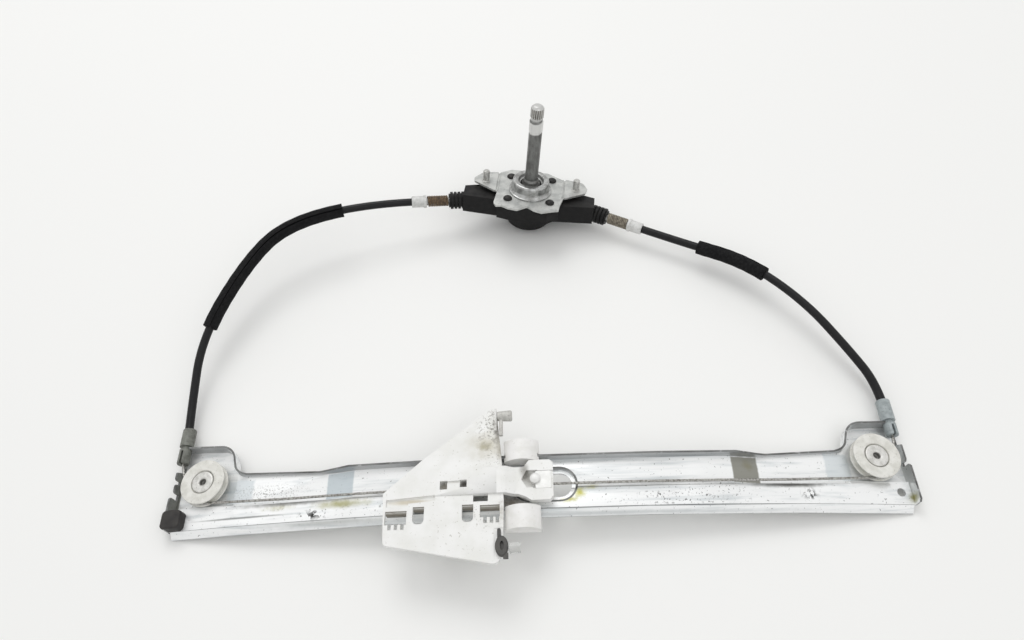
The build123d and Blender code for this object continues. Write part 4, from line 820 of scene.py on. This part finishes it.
ferruleSkins = {"left": "grimyShadedPolyamide", "right": "coolGreyPolyamide"}
for side, x in layout["pulleys"].items():
    place = joinPlaces(archPlace(x), makePlace((x, layout["pulleyY"], 0)))
    lathe(f"pulley_wheel_{side}", pulleyProfile(pulleyForm), place, "greyedAcetal",
          f"pulley_{side}", [f"pulley_{side}"], soft=0.5, closed=True, steps=96)
    lathe(f"pulley_rivet_{side}", pinProfile(pinForm), place, "platedRivet", "base",
          [f"pulley_pin_{side}"], soft=0.35)
    softened(f"ferrule_{side}", f"conduit_ferrule_{side}", ferruleSkins[side], "base",
             0.25)
print("rail unit made")


# Carrier unit: how its drawing sits on the arch, and what changes on the nut and the near shoe.
carrierShape = {
    "scale": 0.971, "from": (155.0, -12.0, 17.0), "to": (156.8, -17.5, 14.4),
    "nut": {
        "tabTop": 15.3, "tabFrom": 15.5, "domeAt": (200.4, -7.3), "domeWithin": 2.7, "domeFrom": 16.0,
        "drawnRadius": 2.5, "domeRadius": 3.1,
    },
    "shoeFoot": {"nearerThan": -33.0, "lift": 5.6},
}


def carrierPlace():
    shift = np.array(carrierShape["to"]) - np.array(carrierShape["from"]) * carrierShape["scale"]
    return joinPlaces(archPlace(layout["carrierX"]), makePlace(shift, np.eye(3) * carrierShape["scale"]))


def nutReshape(points):
    # the tab lies level with the arm round it, and the dome is a little wider
    nut = carrierShape["nut"]
    moved = points.copy()
    offset = points[:, :2] - nut["domeAt"]
    away = np.hypot(*offset.T)
    dome = (away < nut["domeWithin"]) & (points[:, 2] > nut["domeFrom"])
    tab = ~dome & (points[:, 2] > nut["tabFrom"])
    moved[tab, 2] = nut["tabTop"]
    moved[dome, :2] = nut["domeAt"] + offset[dome] * nut["domeRadius"] / nut["drawnRadius"]
    return moved


def footReshape(points):
    # the near foot rises towards its outer end
    foot = carrierShape["shoeFoot"]
    moved = points.copy()
    outer = (points[:, 1] < foot["nearerThan"]) & (points[:, 2] < foot["lift"])
    moved[outer, 2] = foot["lift"]
    return moved


softened("carrier_plate", "glass_carrier", "milkyNylon", "carrier", 0.3)
softened("shoe_far", "guide_shoe_far", "whiteNylon", "carrier", 0.4)
softened("shoe_near", "guide_shoe_near", "whiteNylon", "carrier", 0.4,
         place=archPlace(layout["carrierX"]), reshape=footReshape)
softened("stud_nut", "clamp_nut", "tumbledBlock", "carrier", 0.2,
         place=carrierPlace(), reshape=nutReshape)
softened("corner_clip", "carrier_clip", "palePolyamide", "carrier", 0.4)
softened("oval_grommet", "carrier_grommet", "greyRubber", "carrier", 0.25)

# Upright ribs under the plate, at the far side of each window, put there to show painted shade through the
# windows: the plate's painted shade colours most of them dark.
windowShadeRibs = {
    "wide_left": ((112.6, 126.4), -23.4), "arched_left": ((128.7, 136.5), -21.4),
    "arched_right": ((157.4, 165.0), -21.3), "wide_right": ((167.6, 179.4), -22.0),
}
ribForm = {"low": 7.9, "high": 14.9, "thick": 1.0, "soft": 0.35}


def ribPiece(name, along, farY, f):
    # upright section with rounded edges, carried along X and shut at both ends
    nearY = farY - f["thick"]
    corners = [(farY, f["high"]), (nearY, f["high"]), (nearY, f["low"]), (farY, f["low"])]
    profile = softProfile(corners, f["soft"], True)
    x = np.linspace(*along, 2)
    points = np.stack([
        np.repeat(x[:, None], len(profile), 1), np.tile(profile[:, 0], (2, 1)),
        np.tile(profile[:, 1], (2, 1)),
    ], -1)
    faces = gridFaces(2, len(profile), closeColumns=True).tolist()
    count = len(profile)
    faces += [list(range(count)), list(range(count, 2 * count))]
    mesh = bpy.data.meshes.new(name)
    mesh.from_pydata(toFrame(points, carrierPlace()).reshape(-1, 3).tolist(), [], faces)
    form = bmesh.new()
    form.from_mesh(mesh)
    bmesh.ops.recalc_face_normals(form, faces=form.faces)
    form.to_mesh(mesh)
    form.free()
    finishMesh(mesh, 40)
    return addPiece(name, mesh, "milkyNylon", "carrier", [])


for name, (along, farY) in windowShadeRibs.items():
    ribPiece(f"window_shade_rib_{name}", along, farY, ribForm)
print("carrier unit made")


# Winder: housing, cover, drawn cup and spindle.
softened("winder_body", "winder_housing", "blackPolyamide", "base", 0.35)
softened("winder_cover", "cover_plate", "satinSheet", "base", 0.3)
cupForm = {"radius": 13.2, "high": 9.0, "wall": 1.1, "foot": 15.4}
spindleForm = {
    "radius": 4.6, "teeth": 18, "toothDeep": 0.75, "teethFrom": 58.9, "teethTo": 65.2, "top": 67.6,
}


def cupProfile(f):
    # from the flange's edge up the outer wall, over the rim, round the recess and down the inner wall
    r, h, wall = f["radius"], f["high"], f["wall"]
    return [
        (f["foot"], 0.03), (f["foot"], 0.9), (r + 1.3, 1.2), (r + 0.4, 2.2), (r, 3.4), (r, h - 1.4),
        (r - 0.5, h - 0.4), (r - 1.5, h), (9.2, h - 0.3), (8.4, h - 2.6), (7.4, h - 3.2), (7.4, h - 4.2),
        (9.1, h - 3.6), (10.0, h - 1.3), (r - wall - 0.4, h - wall), (r - wall, h - 2.0), (r - wall, 0.03),
    ]


def spindleProfile(f):
    # from the axis at the foot: journal, collar, neck, shank, grooved neck, toothed head, rounded top
    r = f["radius"]
    return [
        (0, -25.8), (4.0, -25.8), (4.0, -3.0), (10.6, -3.0), (10.6, 1.0), (6.6, 1.4), (6.6, 6.2), (6.0, 7.0),
        (5.6, 8.8), (r, 10.0), (r, 48.2), (r + 0.2, 48.8), (r + 0.2, 55.8), (r - 0.5, 56.6), (r - 0.5, 58.4),
        (r, f["teethFrom"]), (r, 61.0), (r, 63.0), (r, f["teethTo"]), (r - 0.6, 66.2), (r - 1.8, 67.2),
        (0, f["top"]),
    ]


def serrations(f):
    # within the toothed length the radius falls by toothDeep times a triangle wave round the spindle
    def within(height):
        return (height >= f["teethFrom"] - 0.1) & (height <= f["teethTo"] + 0.1)

    def cut(radius, height, angle):
        wave = np.abs((angle * f["teeth"] / math.tau) % 1.0 * 2 - 1)
        return np.where(within(height) & (radius > 3), radius - f["toothDeep"] * wave, radius)

    cut.within = within
    return cut


lathe("drawn_cup", cupProfile(cupForm), winderPlace, "greasyDrawnSteel", "base",
      ["brake_cup"], soft=0.4, closed=True, steps=96)
lathe("spindle", spindleProfile(spindleForm), winderPlace, "oiledSpindleSteel", "crank",
      ["crank_spindle"], soft=0.3, steps=180, flutes=serrations(spindleForm), grooveSkin="handledSteel")

rivetSpots = {"near": -14.0, "far": 14.0, "side": 15.0}
studSpots = {"side": 32.7, "y": 5.2}
rivetCorners = [
    (0, -8.8), (1.95, -8.8), (1.95, 0.05), (3.2, 0.05), (3.2, 0.7), (2.4, 1.6), (1.2, 2.0), (0, 2.1),
]
for row in ("near", "far"):
    for side, sign in (("left", -1), ("right", 1)):
        place = joinPlaces(winderPlace, makePlace((sign * rivetSpots["side"], rivetSpots[row], 0)))
        lathe(f"rivet_head_{row}_{side}", rivetCorners, place, "blackenedSteel", "base",
              [f"rivet_{row}_{side}"], soft=0.4, steps=40)
studCorners = [
    (0, -2.6), (3.6, -2.6), (3.6, -1.02), (1.9, -1.02), (1.9, 0.52), (3.0, 0.52), (3.0, 1.0), (2.4, 1.2),
    (2.4, 8.4), (1.8, 9.0), (0, 9.0),
]
for side, sign in (("left", -1), ("right", 1)):
    place = joinPlaces(winderPlace, makePlace((sign * studSpots["side"], studSpots["y"], 0)))
    lathe(f"stud_{side}", studCorners, place, "platedStud", "base",
          [f"mounting_stud_{side}"], soft=0.2, steps=48)

springForm = {"from": 11.3, "to": 27.2, "turns": 12.0, "radius": 3.35, "wire": 0.6}
capCorners = [
    (1.0, 1.0), (2.1, 1.0), (2.1, 27.4), (4.6, 27.4), (4.6, 29.4), (4.1, 29.6), (4.1, 37.5), (3.7, 38.0),
    (2.75, 38.0), (2.75, 31.9), (1.0, 31.9),
]


def springPoints(f, steps=560, sides=14):
    # wire centre on a helix: (R cos a, R sin a, z), with a ring of wire round it that shuts at the ends
    share = np.linspace(0, 1, steps)[:, None]
    around = np.linspace(0, math.tau, sides, endpoint=False)[None, :]
    turn = share * f["turns"] * math.tau
    height = f["from"] + f["wire"] + (f["to"] - f["from"] - 2 * f["wire"]) * share
    wire = f["wire"] * np.where((share == 0) | (share == 1), 0.0, 1.0)
    reach = f["radius"] + wire * np.cos(around)
    return np.stack([reach * np.cos(turn), reach * np.sin(turn), height + wire * np.sin(around)], -1)


springSkins = {"left": "rustySpringWire", "right": "dulledSpringWire"}
for side in ("left", "right"):
    place = legPlace(side)
    points = springPoints(springForm)
    faces = gridFaces(points.shape[0], points.shape[1], closeColumns=True)
    gridPiece(f"coil_spring_{side}", toFrame(points, place), faces, springSkins[side], "base",
              [f"tension_spring_{side}"], 60)
    lathe(f"cap_{side}", capCorners, place, "capPolyamide", "base",
          [f"conduit_cap_{side}"], soft=0.3, closed=True)
print("winder made")


# Nodes whose own shape stays, each with its finish.
kept = {
    "rail_cable": "galvanisedStrand", "drum_cable": "greasedStrand",
    "winder_cable_left": "greasedStrand", "winder_cable_right": "greasedStrand",
    "cable_nipple_left": "handledSteel", "cable_nipple_right": "handledSteel",
    "brake_spring": "rustySpringWire", "cable_drum": "blackPolyamide", "spacer_stub": "clearPlastic",
}
for node, skin in kept.items():
    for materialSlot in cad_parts[node].material_slots:
        materialSlot.material = skins[skin]


# Floor, backdrop and lamps. Places and sizes are in metres, lamp powers in watts.
studio = {
    "floor": "#F3F3F1", "floorSize": 24.0, "floorHeight": -0.0003, "floorRoughness": 0.6,
    "worldTop": "#FFFFFF", "worldLow": "#77797C", "worldStrength": 0.87, "seen": "#F6F6F5",
    "key": {"at": (-0.35, 1.3, 1.9), "size": 1.3, "power": 13.0},
    "fill": {"at": (0.8, -1.2, 1.9), "size": 1.4, "power": 4.0},
}


def makeFloor(look):
    half = look["floorSize"] / 2
    mesh = bpy.data.meshes.new("floor")
    corners = [(-half, -half, 0), (half, -half, 0), (half, half, 0), (-half, half, 0)]
    mesh.from_pydata(corners, [], [(0, 1, 2, 3)])
    floor = bpy.data.objects.new("floor", mesh)
    floor.location.z = look["floorHeight"]
    scene.collection.objects.link(floor)
    material, tree, shader = newMaterial("pale floor")
    shader.inputs["Base Color"].default_value = hexColour(look["floor"])
    shader.inputs["Roughness"].default_value = look["floorRoughness"]
    mesh.materials.append(material)


def makeWorld(look):
    world = bpy.data.worlds.new("studio")
    world.use_nodes = True
    tree = world.node_tree
    direction = tree.nodes.new("ShaderNodeTexCoord").outputs["Generated"]
    height = addNode(tree, "ShaderNodeSeparateXYZ", {0: direction}).outputs["Z"]
    share = addNode(tree, "ShaderNodeMapRange", {"Value": height, "From Min": 0.05, "From Max": 0.7},
                    interpolation_type="SMOOTHSTEP").outputs["Result"]
    low, top = hexColour(look["worldLow"]), hexColour(look["worldTop"])
    sky = addNode(tree, "ShaderNodeMix", {0: share, 6: low, 7: top}, data_type="RGBA")
    back = tree.nodes["Background"]
    tree.links.new(sky.outputs[2], back.inputs["Color"])
    back.inputs["Strength"].default_value = look["worldStrength"]
    backdrop = addNode(tree, "ShaderNodeBackground", {"Color": hexColour(look["seen"]), "Strength": 1.0})
    # the camera, metal and glass see the plain backdrop, and the soft sky lights the object
    path = tree.nodes.new("ShaderNodeLightPath").outputs
    mirrored = addNode(tree, "ShaderNodeMath", {0: path["Is Camera Ray"], 1: path["Is Glossy Ray"]},
                       operation="MAXIMUM").outputs[0]
    seen = addNode(tree, "ShaderNodeMath", {0: mirrored, 1: path["Is Transmission Ray"]},
                   operation="MAXIMUM").outputs[0]
    both = addNode(tree, "ShaderNodeMixShader", {0: seen, 1: back.outputs[0], 2: backdrop.outputs[0]})
    tree.links.new(both.outputs[0], tree.nodes["World Output"].inputs["Surface"])
    scene.world = world


def makeLamp(name, look):
    data = bpy.data.lights.new(name, "AREA")
    data.shape = "DISK"
    data.size = look["size"]
    data.energy = look["power"]
    lamp = bpy.data.objects.new(name, data)
    at = Vector(look["at"])
    lamp.matrix_world = Matrix.Translation(at) @ (-at).to_track_quat("-Z", "Y").to_matrix().to_4x4()
    scene.collection.objects.link(lamp)


makeFloor(studio)
makeWorld(studio)
makeLamp("key", studio["key"])
makeLamp("fill", studio["fill"])
scene.view_settings.view_transform = "Standard"
print("stage set")

bpy.context.view_layer.update()
